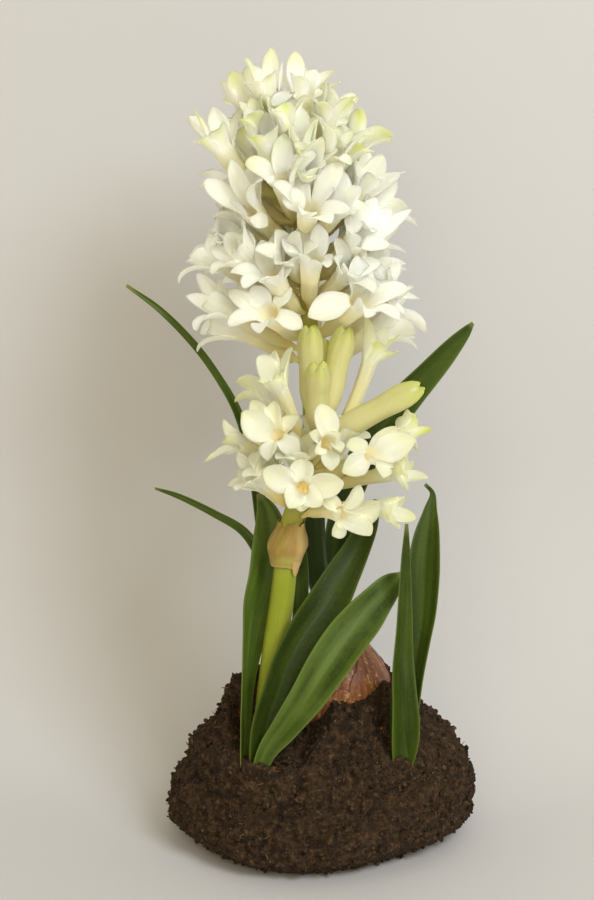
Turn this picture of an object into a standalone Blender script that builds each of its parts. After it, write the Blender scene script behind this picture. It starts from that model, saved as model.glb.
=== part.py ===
"""White hyacinth growing from its bulb in a free-standing clod of soil.

Frame: metres, +Z up, the origin in the middle of the clod's flat underside,
the front of the plant towards -Y.  The tables below are in millimetres and
degrees and are turned into metres when a mesh is made.

Pieces: the soil clod, the bulb, a tall flower stalk with its open florets, a
short flower stalk in front of it with a papery collar, its own florets and a
crown of buds that have not opened, and the strap leaves.
"""

import math

import bpy
import bmesh
import numpy as np
from mathutils import Matrix, Vector, noise
from mathutils.bvhtree import BVHTree

for old in list(bpy.data.objects):
    bpy.data.objects.remove(old, do_unlink=True)

MM = 0.001
GAP = 0.3                 # air between neighbouring pieces

# ---------------------------------------------------------------- soil clod
CLOD_TOP = 66.0
# radius every 30 degrees from +X: at the widest, at the shoulder, at the rim
CLOD_WIDEST = (61.0, 61.0, 56.0, 52.0, 53.5, 58.0, 60.5, 55.0, 52.0, 48.0, 46.5, 52.0)
CLOD_SHOULDER = (51.5, 49.0, 45.0, 42.5, 43.5, 46.0, 48.5, 46.5, 46.0, 45.0, 44.5, 46.5)
CLOD_RIM = (36.5, 35.5, 33.0, 31.0, 33.0, 36.0, 38.5, 36.5, 34.0, 30.0, 31.0, 34.0)
# height, share of the widest, of the shoulder and of the rim outline
CLOD_PROFILE = ((0.0, 0.84, 0, 0), (2.5, 0.92, 0, 0), (7.0, 0.98, 0, 0), (13.0, 1.0, 0, 0),
                (22.0, 0.84, 0.17, 0), (33.0, 0.45, 0.56, 0), (45.0, 0, 1.0, 0),
                (54.0, 0, 0.54, 0.48), (61.0, 0, 0.08, 0.95), (65.0, 0, 0, 0.92))
CLOD_SIDES = 36
CLOD_LUMP = 1.3

# --------------------------------------------------------------------- bulb
BULB_PLACE = (8.0, 0.0, 60.0)
BULB_SIDES = 20
BULB_PROFILE = ((-27.0, 4.5), (-23.5, 10.5), (-16.0, 16.4), (-7.0, 19.2), (0.0, 19.6),
                (7.0, 19.0), (14.0, 16.4), (20.0, 12.2), (25.0, 8.2), (28.0, 6.4))

# -------------------------------------------------- flower stalks: x, y, z, r
TALL_STALK = ((6.2, 2.0, 89.8, 4.4), (5.3, 2.1, 93.5, 4.4), (0.8, 3.0, 102.0, 4.4), (-2.0, 5.0, 116.0, 4.3),
              (-3.0, 10.0, 151.0, 4.0), (-4.0, 14.0, 198.0, 3.4), (-8.0, 16.0, 256.0, 2.4),
              (-11.0, 17.0, 284.0, 1.8))
SHORT_STALK = ((-22.4, -29.2, 50.0, 3.7), (-21.6, -28.4, 61.0, 4.0), (-19.8, -26.6, 76.5, 4.2),
               (-17.5, -25.0, 92.0, 4.5), (-15.1, -24.0, 107.5, 4.6), (-13.8, -23.3, 119.5, 4.5),
               (-12.2, -22.4, 134.0, 4.4),
               (-8.0, -20.0, 150.0, 3.4), (-3.6, -17.6, 167.0, 2.6))
STALK_SIDES = 10
COLLAR_FROM, COLLAR_TO = 121.5, 138.5      # heights on the short stalk
COLLAR_WALL = 0.8

# ------------------------------------- leaves: x, y, z, half width, cup, turn
# half width of the blade, how far the margins stand forward as a share of it,
# and how the blade is turned about its midrib from facing the front
LEAF_THICK = 1.0
LEAF_STEPS = 11
LEAVES = {
    "left_wrap_leaf": ((-30.0, -33.5, 38.0, 3.2, 0.30, 60), (-29.9, -32.3, 52.0, 3.8, 0.30, 60),
                       (-29.0, -29.2, 64.0, 4.2, 0.22, 56), (-28.2, -25.4, 77.0, 4.3, 0.20, 50),
                       (-26.6, -20.7, 91.5, 5.4, 0.26, 36), (-24.6, -17.2, 104.0, 6.5, 0.32, 20),
                       (-22.0, -15.5, 116.0, 6.2, 0.35, 8), (-20.8, -13.5, 129.0, 5.0, 0.35, 0),
                       (-21.8, -12.0, 139.5, 3.0, 0.30, 0), (-24.0, -11.5, 146.3, 0.8, 0.20, 0)),
    "lower_left_leaf": ((-14.0, -13.0, 57.0, 2.4, 0.4, 0), (-15.0, -10.0, 78.5, 2.6, 0.4, 0),
                        (-18.2, -6.0, 101.5, 3.0, 0.4, 0), (-22.4, -4.5, 117.5, 3.0, 0.4, -10),
                        (-29.4, -3.5, 129.0, 3.0, 0.4, -20), (-41.0, -3.0, 136.5, 2.6, 0.4, -30),
                        (-54.0, -1.0, 142.4, 2.0, 0.4, -30), (-64.2, 2.0, 144.7, 0.7, 0.3, -30)),
    "front_leaf_upper": ((-24.4, -35.0, 39.0, 3.2, 0.45, 0), (-23.8, -37.0, 53.0, 3.6, 0.45, 0),
                         (-21.6, -38.0, 64.5, 4.5, 0.45, -4), (-17.2, -37.0, 76.0, 5.4, 0.45, -8),
                         (-12.4, -34.0, 87.0, 6.2, 0.45, -10), (-5.6, -29.5, 97.5, 7.2, 0.40, -12),
                         (3.0, -23.0, 107.5, 7.7, 0.40, -12), (8.4, -18.0, 116.0, 6.6, 0.35, -14),
                         (13.8, -13.0, 124.5, 5.2, 0.35, -14), (18.1, -9.0, 133.0, 3.8, 0.3, -14),
                         (21.6, -5.0, 142.0, 1.2, 0.2, -14)),
    "front_leaf_lower": ((-23.5, -38.6, 39.0, 2.6, 0.45, 0), (-19.6, -41.4, 52.0, 3.0, 0.45, -4),
                         (-13.0, -43.6, 62.5, 4.0, 0.45, -8), (-5.5, -43.4, 74.5, 5.8, 0.45, -10),
                         (1.2, -40.0, 85.0, 7.6, 0.40, -12), (8.9, -35.0, 95.0, 8.0, 0.40, -14),
                         (15.1, -30.0, 101.5, 7.6, 0.35, -16), (21.3, -24.0, 107.5, 6.2, 0.30, -16),
                         (26.4, -19.0, 112.0, 4.4, 0.30, -16), (31.0, -14.5, 115.0, 1.2, 0.2, -16)),
    "upper_right_leaf": ((12.0, 26.0, 57.0, 3.4, 0.5, 0), (10.4, 22.0, 82.0, 3.6, 0.5, 0),
                         (6.6, 20.0, 97.0, 4.0, 0.5, 0), (5.6, 18.5, 110.0, 4.4, 0.5, 0),
                         (7.0, 17.0, 123.0, 5.0, 0.5, 0), (10.4, 15.0, 138.0, 5.6, 0.5, 4),
                         (16.1, 12.5, 155.0, 6.2, 0.5, 8), (23.0, 10.5, 166.5, 6.6, 0.5, 12),
                         (31.4, 9.0, 179.0, 6.6, 0.5, 16), (40.1, 9.0, 189.0, 5.8, 0.5, 20),
                         (49.0, 9.5, 198.5, 4.4, 0.4, 22), (55.0, 10.5, 204.5, 2.6, 0.3, 24),
                         (58.4, 11.5, 208.0, 0.8, 0.2, 24)),
    "upper_left_leaf": ((-16.5, 20.5, 57.0, 3.0, 0.5, 0), (-18.0, 22.0, 75.5, 3.0, 0.5, 0),
                        (-20.0, 23.0, 100.5, 3.4, 0.5, 0), (-23.0, 23.0, 125.5, 3.6, 0.5, 0),
                        (-27.0, 22.5, 150.5, 3.4, 0.5, 0), (-32.4, 22.0, 170.0, 3.0, 0.5, 0),
                        (-40.1, 21.5, 184.5, 2.8, 0.5, 0), (-49.7, 21.5, 198.0, 2.4, 0.5, 0),
                        (-62.5, 22.5, 211.0, 2.0, 0.4, 0), (-75.4, 24.0, 220.2, 0.7, 0.3, 0)),
    "middle_leaf": ((-11.5, -19.5, 57.0, 2.4, 0.45, 0), (-10.8, -18.0, 69.0, 2.6, 0.45, 0),
                    (-9.2, -15.0, 84.5, 2.9, 0.45, 8), (-8.1, -12.0, 99.5, 3.0, 0.45, 10),
                    (-7.7, -9.4, 113.0, 2.8, 0.4, 10), (-8.1, -8.0, 124.5, 2.0, 0.4, 10),
                    (-8.9, -7.5, 132.0, 0.8, 0.3, 10)),
}
RIGHT_SHEATH = ((31.2, -27.0, 37.0, 4.2), (31.7, -29.5, 47.0, 4.6), (31.4, -29.3, 59.0, 5.0),
                (31.4, -28.3, 69.0, 5.0), (31.8, -27.4, 76.5, 4.4))
RIGHT_FRONT_BLADE = ((31.0, -29.0, 62.0, 3.4, 0.5, 20), (30.2, -30.0, 76.0, 4.6, 0.55, 26),
                     (29.9, -30.2, 88.0, 4.5, 0.6, 30), (30.4, -29.5, 100.5, 3.8, 0.6, 34),
                     (31.0, -28.0, 113.5, 2.9, 0.5, 34), (31.6, -26.5, 126.5, 2.0, 0.4, 30),
                     (32.1, -25.0, 138.3, 0.7, 0.3, 30))
RIGHT_BACK_BLADE = ((33.2, -26.4, 62.0, 3.0, 0.5, -20), (35.6, -24.0, 76.0, 3.8, 0.5, -24),
                    (38.2, -20.6, 90.5, 4.8, 0.5, -24), (39.7, -17.3, 103.5, 5.9, 0.5, -22),
                    (40.2, -13.8, 116.5, 6.5, 0.45, -20), (41.0, -10.0, 129.0, 5.0, 0.4, -16),
                    (42.1, -6.5, 138.0, 2.6, 0.3, -10), (43.0, -3.5, 144.0, 1.0, 0.3, -4),
                    (40.2, -1.4, 147.2, 0.7, 0.2, 0))

# -------------------------------------------------------------------- florets
# stalk height of the foot, azimuth, reach of the mouth from the stalk's axis,
# rise of the mouth above the foot, final rise angle, lobe length, wish to open
TALL_FLORETS = (
    (282, -142, 11.5, 12, 76, 13, 44), (277, -66, 9.6, 18, 78, 13, 46), (278, 168, 17, 13, 52, 13, 50),
    (256, -160, 28, 19, 62, 14, 48), (256, -121, 19, 20, 68, 14, 40), (265, -28, 14, 20, 68, 13, 44),
    (252, -44, 19, 22, 66, 14, 44), (243, -10, 24, 15.5, 56, 15, 48), (246, -104, 22, 18.4, 50, 14, 56),
    (239, -142, 23, 14, 52, 16, 56), (235, -83, 23, 18.8, 46, 15, 56), (214, -84, 24, 21, 55, 15, 56),
    (224, -39, 23.5, 16.5, 46, 15, 56), (203, -48, 28, 15.5, 40, 16, 58), (202, -17, 28, 16, 38, 16, 56),
    (197, -161, 30, 17, 36, 16, 54), (220, -145, 25.2, 13.8, 44, 15, 54), (212, -117, 25, 16.5, 50, 14, 52),
    (201, -124, 26, 14, 34, 15, 52), (190, 4, 25, 13, 30, 14, 48), (213, 178, 30, 17, 38, 15, 54),
    (268, 70, 14, 18, 64, 13, 46), (259, 110, 20, 18, 58, 14, 48), (254, 24, 22, 18, 54, 14, 50),
    (244, 68, 24, 18, 52, 15, 52), (236, 140, 26, 18, 48, 15, 54), (228, 18, 27, 18, 46, 15, 54),
    (220, 92, 27, 17, 44, 15, 54), (212, 48, 28, 17, 40, 16, 54), (204, 136, 28, 16, 36, 16, 54),
    (196, 84, 28, 13, 30, 16, 54), (194, 30, 28, 13, 30, 16, 54), (192, 168, 26, 11, 24, 15, 50),
)
SHORT_FLORETS = (
    (159, -135, 16.8, 14.3, 40, 14, 56), (153, 176, 25, 13, 22, 14, 52), (157, -73, 17.2, 15, 20, 13, 60),
    (155, -33, 24.5, 11, 26, 14, 56), (150, 18, 34, 18, 28, 13, 44), (150, -5, 31.4, 7, 12, 13, 50),
    (147, -92, 17.8, 8.8, 6, 14, 60), (141, -48, 22, 5, 2, 14, 60), (141, -18, 31, 5, 0, 13, 50),
    (161, -168, 11.5, 27, 62, 13, 46), (159, 140, 18, 20, 54, 13, 48), (158, 35, 26.5, 37, 68, 14, 44),
    (146, 132, 20, 12, 30, 14, 52),
)
# rings of a floret: place along its curve, radius
TUBE_RINGS = ((0.0, 0.9), (0.30, 1.1), (0.46, 2.5), (0.68, 2.3), (0.86, 2.8), (1.0, 4.0))
MOUTH_WALL = 0.8
THROAT = ((0.84, 1.9), (0.62, 1.2))
LOBE_THICK = 0.9
LOBE_HALF = 3.9
CLOSE_STEP = 4            # a lobe that would meet a neighbour closes by this
MOST_CLOSED = 8

# buds of the crown on the short stalk: foot, tip, radius
BUDS = (
    ((-2.6, -15.6, 174.0), (-4.0, -12.5, 211.5), 4.9), ((-1.0, -18.2, 170.0), (0.4, -24.5, 200.0), 4.3),
    ((1.2, -14.8, 174.0), (9.6, -11.0, 210.5), 4.7), ((-0.4, -18.0, 168.5), (37.0, -25.0, 191.0), 4.2),
    ((-1.0, -13.4, 174.0), (1.0, -3.0, 204.0), 4.2),
)
BUD_SIDES = 8
BUD_PROFILE = ((0.0, 0.42), (0.14, 0.62), (0.34, 0.96), (0.55, 1.0), (0.76, 0.86), (0.90, 0.70),
               (1.0, 0.34))


# =================================================================== tools
def srgb(r, g, b):
    """Linear colour of an sRGB colour given from 0 to 255."""
    return tuple(((c / 255 + 0.055) / 1.055) ** 2.4 if c > 10 else c / 255 / 12.92
                 for c in (r, g, b)) + (1.0,)


def material(name, colour, roughness):
    mat = bpy.data.materials.new(name)
    mat.use_nodes = True
    shader = mat.node_tree.nodes["Principled BSDF"]
    shader.inputs["Base Color"].default_value = colour
    shader.inputs["Roughness"].default_value = roughness
    shader.inputs["Metallic"].default_value = 0.0
    mat.diffuse_color = colour
    return mat


def along(rows, count):
    """count + 1 rows read from the smooth curve through the given rows."""
    rows = np.array(rows, float)
    last = len(rows) - 1
    ext = np.vstack([2 * rows[0] - rows[1], rows, 2 * rows[-1] - rows[-2]])
    out = []
    for i in range(count + 1):
        u = last * i / count
        k = min(int(u), last - 1)
        t = u - k
        a, b, c, d = ext[k:k + 4]
        out.append(0.5 * (2 * b + (c - a) * t + (2 * a - 5 * b + 4 * c - d) * t * t
                          + (3 * b - a - 3 * c + d) * t ** 3))
    return np.array(out)


def at_height(rows, z):
    """The stalk's axis point and radius at height z."""
    fine = along(rows, 60)
    return (Vector([float(np.interp(z, fine[:, 2], fine[:, k])) for k in (0, 1)] + [z]),
            float(np.interp(z, fine[:, 2], fine[:, 3])))


def tangents(points):
    out = []
    for i in range(len(points)):
        a = points[max(i - 1, 0)]
        b = points[min(i + 1, len(points) - 1)]
        out.append((b - a).normalized())
    return out


def loft(rings, close_start=True, close_end=True):
    """Vertices and faces of a skin over rings of equal length, ends closed."""
    n = len(rings[0])
    verts = [v for ring in rings for v in ring]
    faces = []
    for i in range(len(rings) - 1):
        for k in range(n):
            a, b = i * n + k, i * n + (k + 1) % n
            faces.append((a, b, b + n, a + n))
    if close_start:
        faces.append(tuple(range(n))[::-1])
    if close_end:
        faces.append(tuple(range((len(rings) - 1) * n, len(rings) * n)))
    return verts, faces


def make(name, verts, faces, mat, place=(0, 0, 0), smooth=True, sharp=40):
    """An object at its place, with its mesh measured from there."""
    origin = Vector(place)
    mesh = bpy.data.meshes.new(name)
    mesh.from_pydata([tuple((Vector(v) - origin) * MM) for v in verts], [], faces)
    bm = bmesh.new()
    bm.from_mesh(mesh)
    bmesh.ops.recalc_face_normals(bm, faces=bm.faces)
    bm.to_mesh(mesh)
    bm.free()
    mesh.materials.append(mat)
    if smooth:
        mesh.shade_smooth()
        mesh.set_sharp_from_angle(angle=math.radians(sharp))
    obj = bpy.data.objects.new(name, mesh)
    obj.location = origin * MM
    bpy.context.scene.collection.objects.link(obj)
    obj.parent = PLANT
    return obj


def cutter(name, verts, faces):
    obj = make(name, verts, faces, SOIL, smooth=False)
    obj.hide_render = True
    obj.display_type = 'WIRE'
    return obj


def boolean(obj, other, operation):
    mod = obj.modifiers.new(operation.lower() + "_" + other.name, 'BOOLEAN')
    mod.operation = operation
    mod.solver = 'EXACT'
    mod.object = other


PLANT = bpy.data.objects.new("plant", None)
bpy.context.scene.collection.objects.link(PLANT)

SOIL = material("soil", srgb(62, 50, 36), 0.95)
SKIN = material("bulb_skin", srgb(128, 86, 56), 0.5)
STALK = material("stalk_green", srgb(160, 168, 66), 0.5)
PAPER = material("dry_collar", srgb(180, 152, 84), 0.7)
LEAF = material("leaf_green", srgb(82, 100, 46), 0.5)
PETAL = material("petal_white", srgb(232, 232, 210), 0.55)
BUD = material("bud_yellow_green", srgb(204, 204, 130), 0.55)


# ===================================================================== clod
def outline(table, angle):
    """Radius of a closed outline, smooth between its twelve radii."""
    n = len(table)
    u = (math.degrees(angle) / 30.0) % n
    k = int(u)
    t = u - k
    a, b, c, d = (table[(k + j) % n] for j in (-1, 0, 1, 2))
    return 0.5 * (2 * b + (c - a) * t + (2 * a - 5 * b + 4 * c - d) * t * t
                  + (3 * b - a - 3 * c + d) * t ** 3)


def clod():
    rings = []
    rows = list(CLOD_PROFILE) + [(CLOD_TOP + 0.6, 0, 0, 0.74), (CLOD_TOP, 0, 0, 0.38)]
    for z, widest, shoulder, rim in rows:
        ring = []
        for k in range(CLOD_SIDES):
            angle = 2 * math.pi * k / CLOD_SIDES
            r = (widest * outline(CLOD_WIDEST, angle) + shoulder * outline(CLOD_SHOULDER, angle)
                 + rim * outline(CLOD_RIM, angle))
            p = Vector((r * math.cos(angle), r * math.sin(angle), z))
            lump = CLOD_LUMP * noise.noise(p * 0.09)
            if z > 0:
                p += Vector((p.x, p.y, 0)).normalized() * lump
            if z > 60:
                p.z += lump
            ring.append(p)
        rings.append(ring)
    return loft(rings)


# =================================================================== stalks
def tube(rows, sides, grow=0.0, count=14):
    """A round stem along the smooth curve through rows of x, y, z, radius."""
    fine = along(rows, count)
    points = [Vector(r[:3]) for r in fine]
    if grow:
        points[0] = points[0] - (points[1] - points[0]).normalized() * grow
        points[-1] = points[-1] + (points[-1] - points[-2]).normalized() * grow
    rings = []
    side = Vector((1, 0, 0))
    for p, t, r in zip(points, tangents(points), fine[:, 3] + grow):
        side = (side - t * side.dot(t)).normalized()
        up = t.cross(side)
        rings.append([p + (side * math.cos(a) + up * math.sin(a)) * r
                      for a in (2 * math.pi * k / sides for k in range(sides))])
    return rings


def collar():
    """The dry sleeve round the short stalk, its lower hem dipping in front."""
    rings = []
    sides = 14
    for height, out in ((COLLAR_FROM, 0.0), (COLLAR_FROM, COLLAR_WALL), (127.0, COLLAR_WALL + 0.4),
                        (134.0, COLLAR_WALL + 0.5), (COLLAR_TO, COLLAR_WALL + 0.9),
                        (COLLAR_TO, 0.1), (130.0, 0.0)):
        ring = []
        for k in range(sides):
            a = 2 * math.pi * k / sides
            z = height
            if height == COLLAR_FROM:
                z += 1.6 * math.sin(a) + 0.8 * math.sin(3 * a)
            axis, r = at_height(SHORT_STALK, z)
            reach = r + GAP + 0.45 + out
            ring.append(axis + Vector((math.cos(a), math.sin(a), 0)) * reach)
        rings.append(ring)
    verts, faces = loft(rings, False, False)
    n = sides
    last = (len(rings) - 1) * n
    for k in range(n):
        faces.append((last + k, last + (k + 1) % n, (k + 1) % n, k))
    return verts, faces


# =================================================================== leaves
def blade(rows, grow=0.0, first=0, last=None, steps=LEAF_STEPS):
    """Rings of a channelled strap leaf along its midrib, front then back."""
    fine = along(rows, steps)
    points = [Vector(r[:3]) for r in fine]
    heads = tangents(points)
    rings = []
    across = (-1.0, -0.5, 0.0, 0.5, 1.0)
    for p, t, row in list(zip(points, heads, fine))[first:last]:
        half, cup, turn = row[3:6]
        side = t.cross(Vector((0, -1, 0))).normalized()
        face = side.cross(t)
        spin = Matrix.Rotation(math.radians(turn), 3, t)
        side, face = spin @ side, spin @ face
        front, back = [], []
        for u in across:
            q = p + side * (u * (half + grow)) + face * (cup * half * u * u)
            thick = LEAF_THICK * (1.0 - 0.45 * abs(u)) / 2 + grow
            front.append(q + face * thick)
            back.append(q - face * thick)
        rings.append(front + back[::-1])
    if grow:
        drop = (rings[1][2] - rings[0][2]).normalized() * grow
        rings[0] = [v - drop for v in rings[0]]
    return rings


def blade_solid(rings):
    verts, faces = loft(rings, False, False)
    n = len(rings[0])
    last = (len(rings) - 1) * n
    for base in (0, last):
        for k in range(4):
            faces.append((base + k, base + k + 1, base + n - 2 - k, base + n - 1 - k))
    return verts, faces


# ================================================================== florets
class Floret:
    """One bell: pedicel, swollen tube and six pointed lobes."""

    def __init__(self, stalk, row):
        foot_z, azimuth, reach, rise, final, self.lobe, self.wish = row
        self.axis, r = at_height(stalk, foot_z)
        az, fin = math.radians(azimuth), math.radians(final)
        out = Vector((math.cos(az), math.sin(az), 0))
        up = Vector((0, 0, 1))
        self.head = (out * math.cos(fin) + up * math.sin(fin)).normalized()
        mouth_axis = at_height(stalk, foot_z + rise)[0]
        self.mouth = mouth_axis + out * reach
        self.mouth.z = foot_z + rise
        length = (self.mouth - self.axis).length
        bend = self.mouth - self.head * (0.52 * length)
        lean = bend - self.axis
        lean = out * max(lean.dot(out), 0.8 * lean.z) + up * lean.z
        lean.normalize()
        self.foot = self.axis + out * (r + GAP + 0.25 + 0.9 * abs(lean.z))
        self.bend = bend
        self.spreads = [self.wish] * 6
        first = out.cross(up).normalized()
        self.side = (first - self.head * first.dot(self.head)).normalized()
        self.up = self.head.cross(self.side)

    def point(self, t):
        return self.foot * (1 - t) ** 2 + self.bend * (2 * t * (1 - t)) + self.mouth * t * t

    def heading(self, t):
        return ((self.bend - self.foot) * (1 - t) + (self.mouth - self.bend) * t).normalized()

    def ring(self, t, r):
        head = self.heading(t)
        side = (self.side - head * self.side.dot(head)).normalized()
        up = head.cross(side)
        return [self.point(t) + (side * math.cos(a) + up * math.sin(a)) * r
                for a in (math.pi / 3 * k for k in range(6))]

    def tube_mesh(self, grow=0.0):
        rings = [self.ring(t, r + grow) for t, r in TUBE_RINGS]
        return loft(rings)

    def lobe_points(self, k, spread, grow=0.0):
        """Middle pair, front and back, and tip of lobe k at a spread angle."""
        a = math.pi / 3 * (k + 0.5)
        out = self.side * math.cos(a) + self.up * math.sin(a)
        across = self.head.cross(out)
        rim = TUBE_RINGS[-1][1] * math.cos(math.pi / 6)
        low, high = math.radians(spread * 0.62), math.radians(spread * 1.35)
        half_way = (self.mouth + out * (rim - MOUTH_WALL / 2)
                    + (self.head * math.cos(low) + out * math.sin(low)) * self.lobe * 0.5)
        tip = half_way + (self.head * math.cos(high) + out * math.sin(high)) * (self.lobe * 0.5 + grow)
        mean = math.radians(spread)
        face = (self.head * math.sin(mean) - out * math.cos(mean)).normalized()
        thick = LOBE_THICK / 2 + grow
        radius = (half_way - self.mouth - face * 0).dot(out) - thick
        half = min(LOBE_HALF, radius * math.tan(math.pi / 6) - 0.2)
        half = max(half, 1.0) + grow
        outer = [half_way - face * thick - across * half, half_way - face * thick + across * half]
        inner = [half_way + face * thick - across * half, half_way + face * thick + across * half]
        return outer, inner, tip

    def lobe_mesh(self, k, spread, grow=0.0):
        """The lobe alone, closed, for trying whether it fits."""
        rim = self.ring(1.0, TUBE_RINGS[-1][1] + grow)
        throat = self.ring(1.0, TUBE_RINGS[-1][1] - MOUTH_WALL)
        outer, inner, tip = self.lobe_points(k, spread, grow)
        j = (k + 1) % 6
        verts = [rim[k], rim[j], throat[j], throat[k], outer[0], outer[1], inner[1], inner[0], tip]
        faces = [(0, 1, 5, 4), (1, 2, 6, 5), (2, 3, 7, 6), (3, 0, 4, 7), (4, 5, 8), (5, 6, 8),
                 (6, 7, 8), (7, 4, 8), (3, 2, 1, 0)]
        return verts, faces

    def mesh(self):
        rings = [self.ring(t, r) for t, r in TUBE_RINGS]
        verts, faces = loft(rings, True, False)
        mouth = 6 * (len(rings) - 1)
        inner0 = len(verts)
        verts += self.ring(1.0, TUBE_RINGS[-1][1] - MOUTH_WALL)
        for t, r in THROAT:
            verts += self.ring(t, r)
        for row in range(len(THROAT)):
            for k in range(6):
                a, b = inner0 + 6 * row + k, inner0 + 6 * row + (k + 1) % 6
                faces.append((b, a, a + 6, b + 6))
        faces.append(tuple(inner0 + 6 * len(THROAT) + k for k in range(6)))
        for k in range(6):
            j = (k + 1) % 6
            outer, inner, tip = self.lobe_points(k, self.spreads[k])
            at = len(verts)
            verts += outer + inner + [tip]
            o0, o1, i0, i1, tp = at, at + 1, at + 2, at + 3, at + 4
            faces += [(mouth + k, mouth + j, o1, o0), (o0, o1, tp),
                      (inner0 + j, inner0 + k, i0, i1), (i1, i0, tp),
                      (mouth + j, inner0 + j, i1, o1), (o1, i1, tp),
                      (inner0 + k, mouth + k, o0, i0), (i0, o0, tp)]
        return verts, faces


def tree(verts, faces):
    return BVHTree.FromPolygons([Vector(v) for v in verts], faces)


def open_head(florets, standing):
    """Opens every lobe as far as it wishes, or until it would meet a neighbour.

    standing holds the trees of the pieces that are already there."""
    tubes = [tree(*f.tube_mesh()) for f in florets]
    placed = [[] for f in florets]
    for i, floret in enumerate(florets):
        for k in range(6):
            wish = floret.wish + 9 * math.sin(2.4 * i + 1.7 * k)
            spread = wish
            while spread > MOST_CLOSED:
                trial = tree(*floret.lobe_mesh(k, spread, GAP * 1.2))
                hit = any(trial.overlap(other) for other in standing)
                hit = hit or any(trial.overlap(tubes[j]) for j in range(len(florets)) if j != i)
                hit = hit or any(trial.overlap(other) for j in range(i) for other in placed[j])
                if not hit:
                    break
                spread -= CLOSE_STEP
            floret.spreads[k] = max(spread, MOST_CLOSED)
            placed[i].append(tree(*floret.lobe_mesh(k, floret.spreads[k])))
    return [t for group in placed for t in group] + tubes


# ===================================================================== buds
def bud(foot, tip, radius):
    foot, tip = Vector(foot), Vector(tip)
    head = (tip - foot).normalized()
    side = head.cross(Vector((0.3, 1, 0.2))).normalized()
    up = head.cross(side)
    rings = []
    for t, share in BUD_PROFILE:
        p = foot.lerp(tip, t)
        rings.append([p + (side * math.cos(a) + up * math.sin(a)) * radius * share
                      for a in (2 * math.pi * k / BUD_SIDES for k in range(BUD_SIDES))])
    return loft(rings)


# ================================================================= assembly
soil = make("soil_clod", *clod(), SOIL, sharp=60)

bulb_rows = [(BULB_PLACE[0], BULB_PLACE[1], BULB_PLACE[2] + z, r) for z, r in BULB_PROFILE]


def turned(rows, sides, grow=0.0):
    rings = []
    for i, (x, y, z, r) in enumerate(rows):
        if i == 0:
            z -= grow
        rings.append([Vector((x + (r + grow) * math.cos(a), y + (r + grow) * math.sin(a), z))
                      for a in (2 * math.pi * k / sides for k in range(sides))])
    return loft(rings)


make("bulb", *turned(bulb_rows, BULB_SIDES), SKIN, place=BULB_PLACE)
boolean(soil, cutter("cut_bulb", *turned(bulb_rows, BULB_SIDES, GAP)), 'DIFFERENCE')

standing = []
for name, rows, count in (("tall_stalk", TALL_STALK, 16), ("short_stalk", SHORT_STALK, 12)):
    skin = loft(tube(rows, STALK_SIDES, 0.0, count))
    make(name, *skin, STALK, place=rows[0][:3])
    standing.append(tree(*loft(tube(rows, STALK_SIDES, GAP, count))))
boolean(soil, cutter("cut_short_stalk", *loft(tube(SHORT_STALK, STALK_SIDES, GAP, 12)[:5])), 'DIFFERENCE')

skin = collar()
make("short_stalk_collar", *skin, PAPER, sharp=60)
standing.append(tree(*skin))

for name, rows in LEAVES.items():
    skin = blade_solid(blade(rows))
    make(name, *skin, LEAF, place=rows[0][:3], sharp=60)
    standing.append(tree(*skin))
    boolean(soil, cutter("cut_" + name, *blade_solid(blade(rows, GAP, 0, 5))), 'DIFFERENCE')

sheath = loft(tube(RIGHT_SHEATH, 10, 0.0, 6))
pair = make("right_leaf_pair", *sheath, LEAF, place=RIGHT_SHEATH[0][:3], sharp=60)
for tag, rows in (("front", RIGHT_FRONT_BLADE), ("back", RIGHT_BACK_BLADE)):
    skin = blade_solid(blade(rows))
    boolean(pair, cutter("blade_" + tag, *skin), 'UNION')
    standing.append(tree(*skin))
boolean(soil, cutter("cut_right_sheath", *loft(tube(RIGHT_SHEATH, 10, GAP, 6))), 'DIFFERENCE')

crown = None
for i, (foot, tip, radius) in enumerate(BUDS):
    skin = bud(foot, tip, radius)
    standing.append(tree(*skin))
    if crown is None:
        crown = make("short_head_buds", *skin, BUD, place=foot, sharp=50)
    else:
        boolean(crown, cutter("bud_%d" % (i + 1), *skin), 'UNION')

short_head = [Floret(SHORT_STALK, row) for row in SHORT_FLORETS]
tall_head = [Floret(TALL_STALK, row) for row in TALL_FLORETS]
standing += open_head(short_head, standing)
open_head(tall_head, standing)
for prefix, head in (("short_floret_", short_head), ("tall_floret_", tall_head)):
    for i, floret in enumerate(head):
        make("%s%02d" % (prefix, i + 1), *floret.mesh(), PETAL, place=floret.foot, sharp=50)
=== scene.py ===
"""Looks of the white hyacinth: petals, leaves, papery collar, bulb skin and peat.

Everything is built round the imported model's own places.  Tables are in
millimetres and degrees, and MM turns them into metres.
"""
import itertools
import math

import bpy
import bmesh
import numpy as np
from mathutils import Matrix, Vector, noise
from mathutils.bvhtree import BVHTree


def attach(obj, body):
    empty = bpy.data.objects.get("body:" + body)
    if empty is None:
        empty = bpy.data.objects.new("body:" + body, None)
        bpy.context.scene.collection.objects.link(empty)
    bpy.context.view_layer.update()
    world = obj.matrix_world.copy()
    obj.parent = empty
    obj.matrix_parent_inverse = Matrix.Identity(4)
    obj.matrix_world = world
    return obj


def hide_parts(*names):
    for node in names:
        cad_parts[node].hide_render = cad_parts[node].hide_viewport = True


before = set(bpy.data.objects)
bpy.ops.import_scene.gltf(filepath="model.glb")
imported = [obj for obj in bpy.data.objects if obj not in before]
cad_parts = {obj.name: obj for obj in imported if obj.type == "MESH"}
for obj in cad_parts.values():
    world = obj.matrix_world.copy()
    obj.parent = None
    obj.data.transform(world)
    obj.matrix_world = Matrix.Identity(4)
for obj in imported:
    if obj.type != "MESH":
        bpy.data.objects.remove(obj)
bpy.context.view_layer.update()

MM = 0.001


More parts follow.
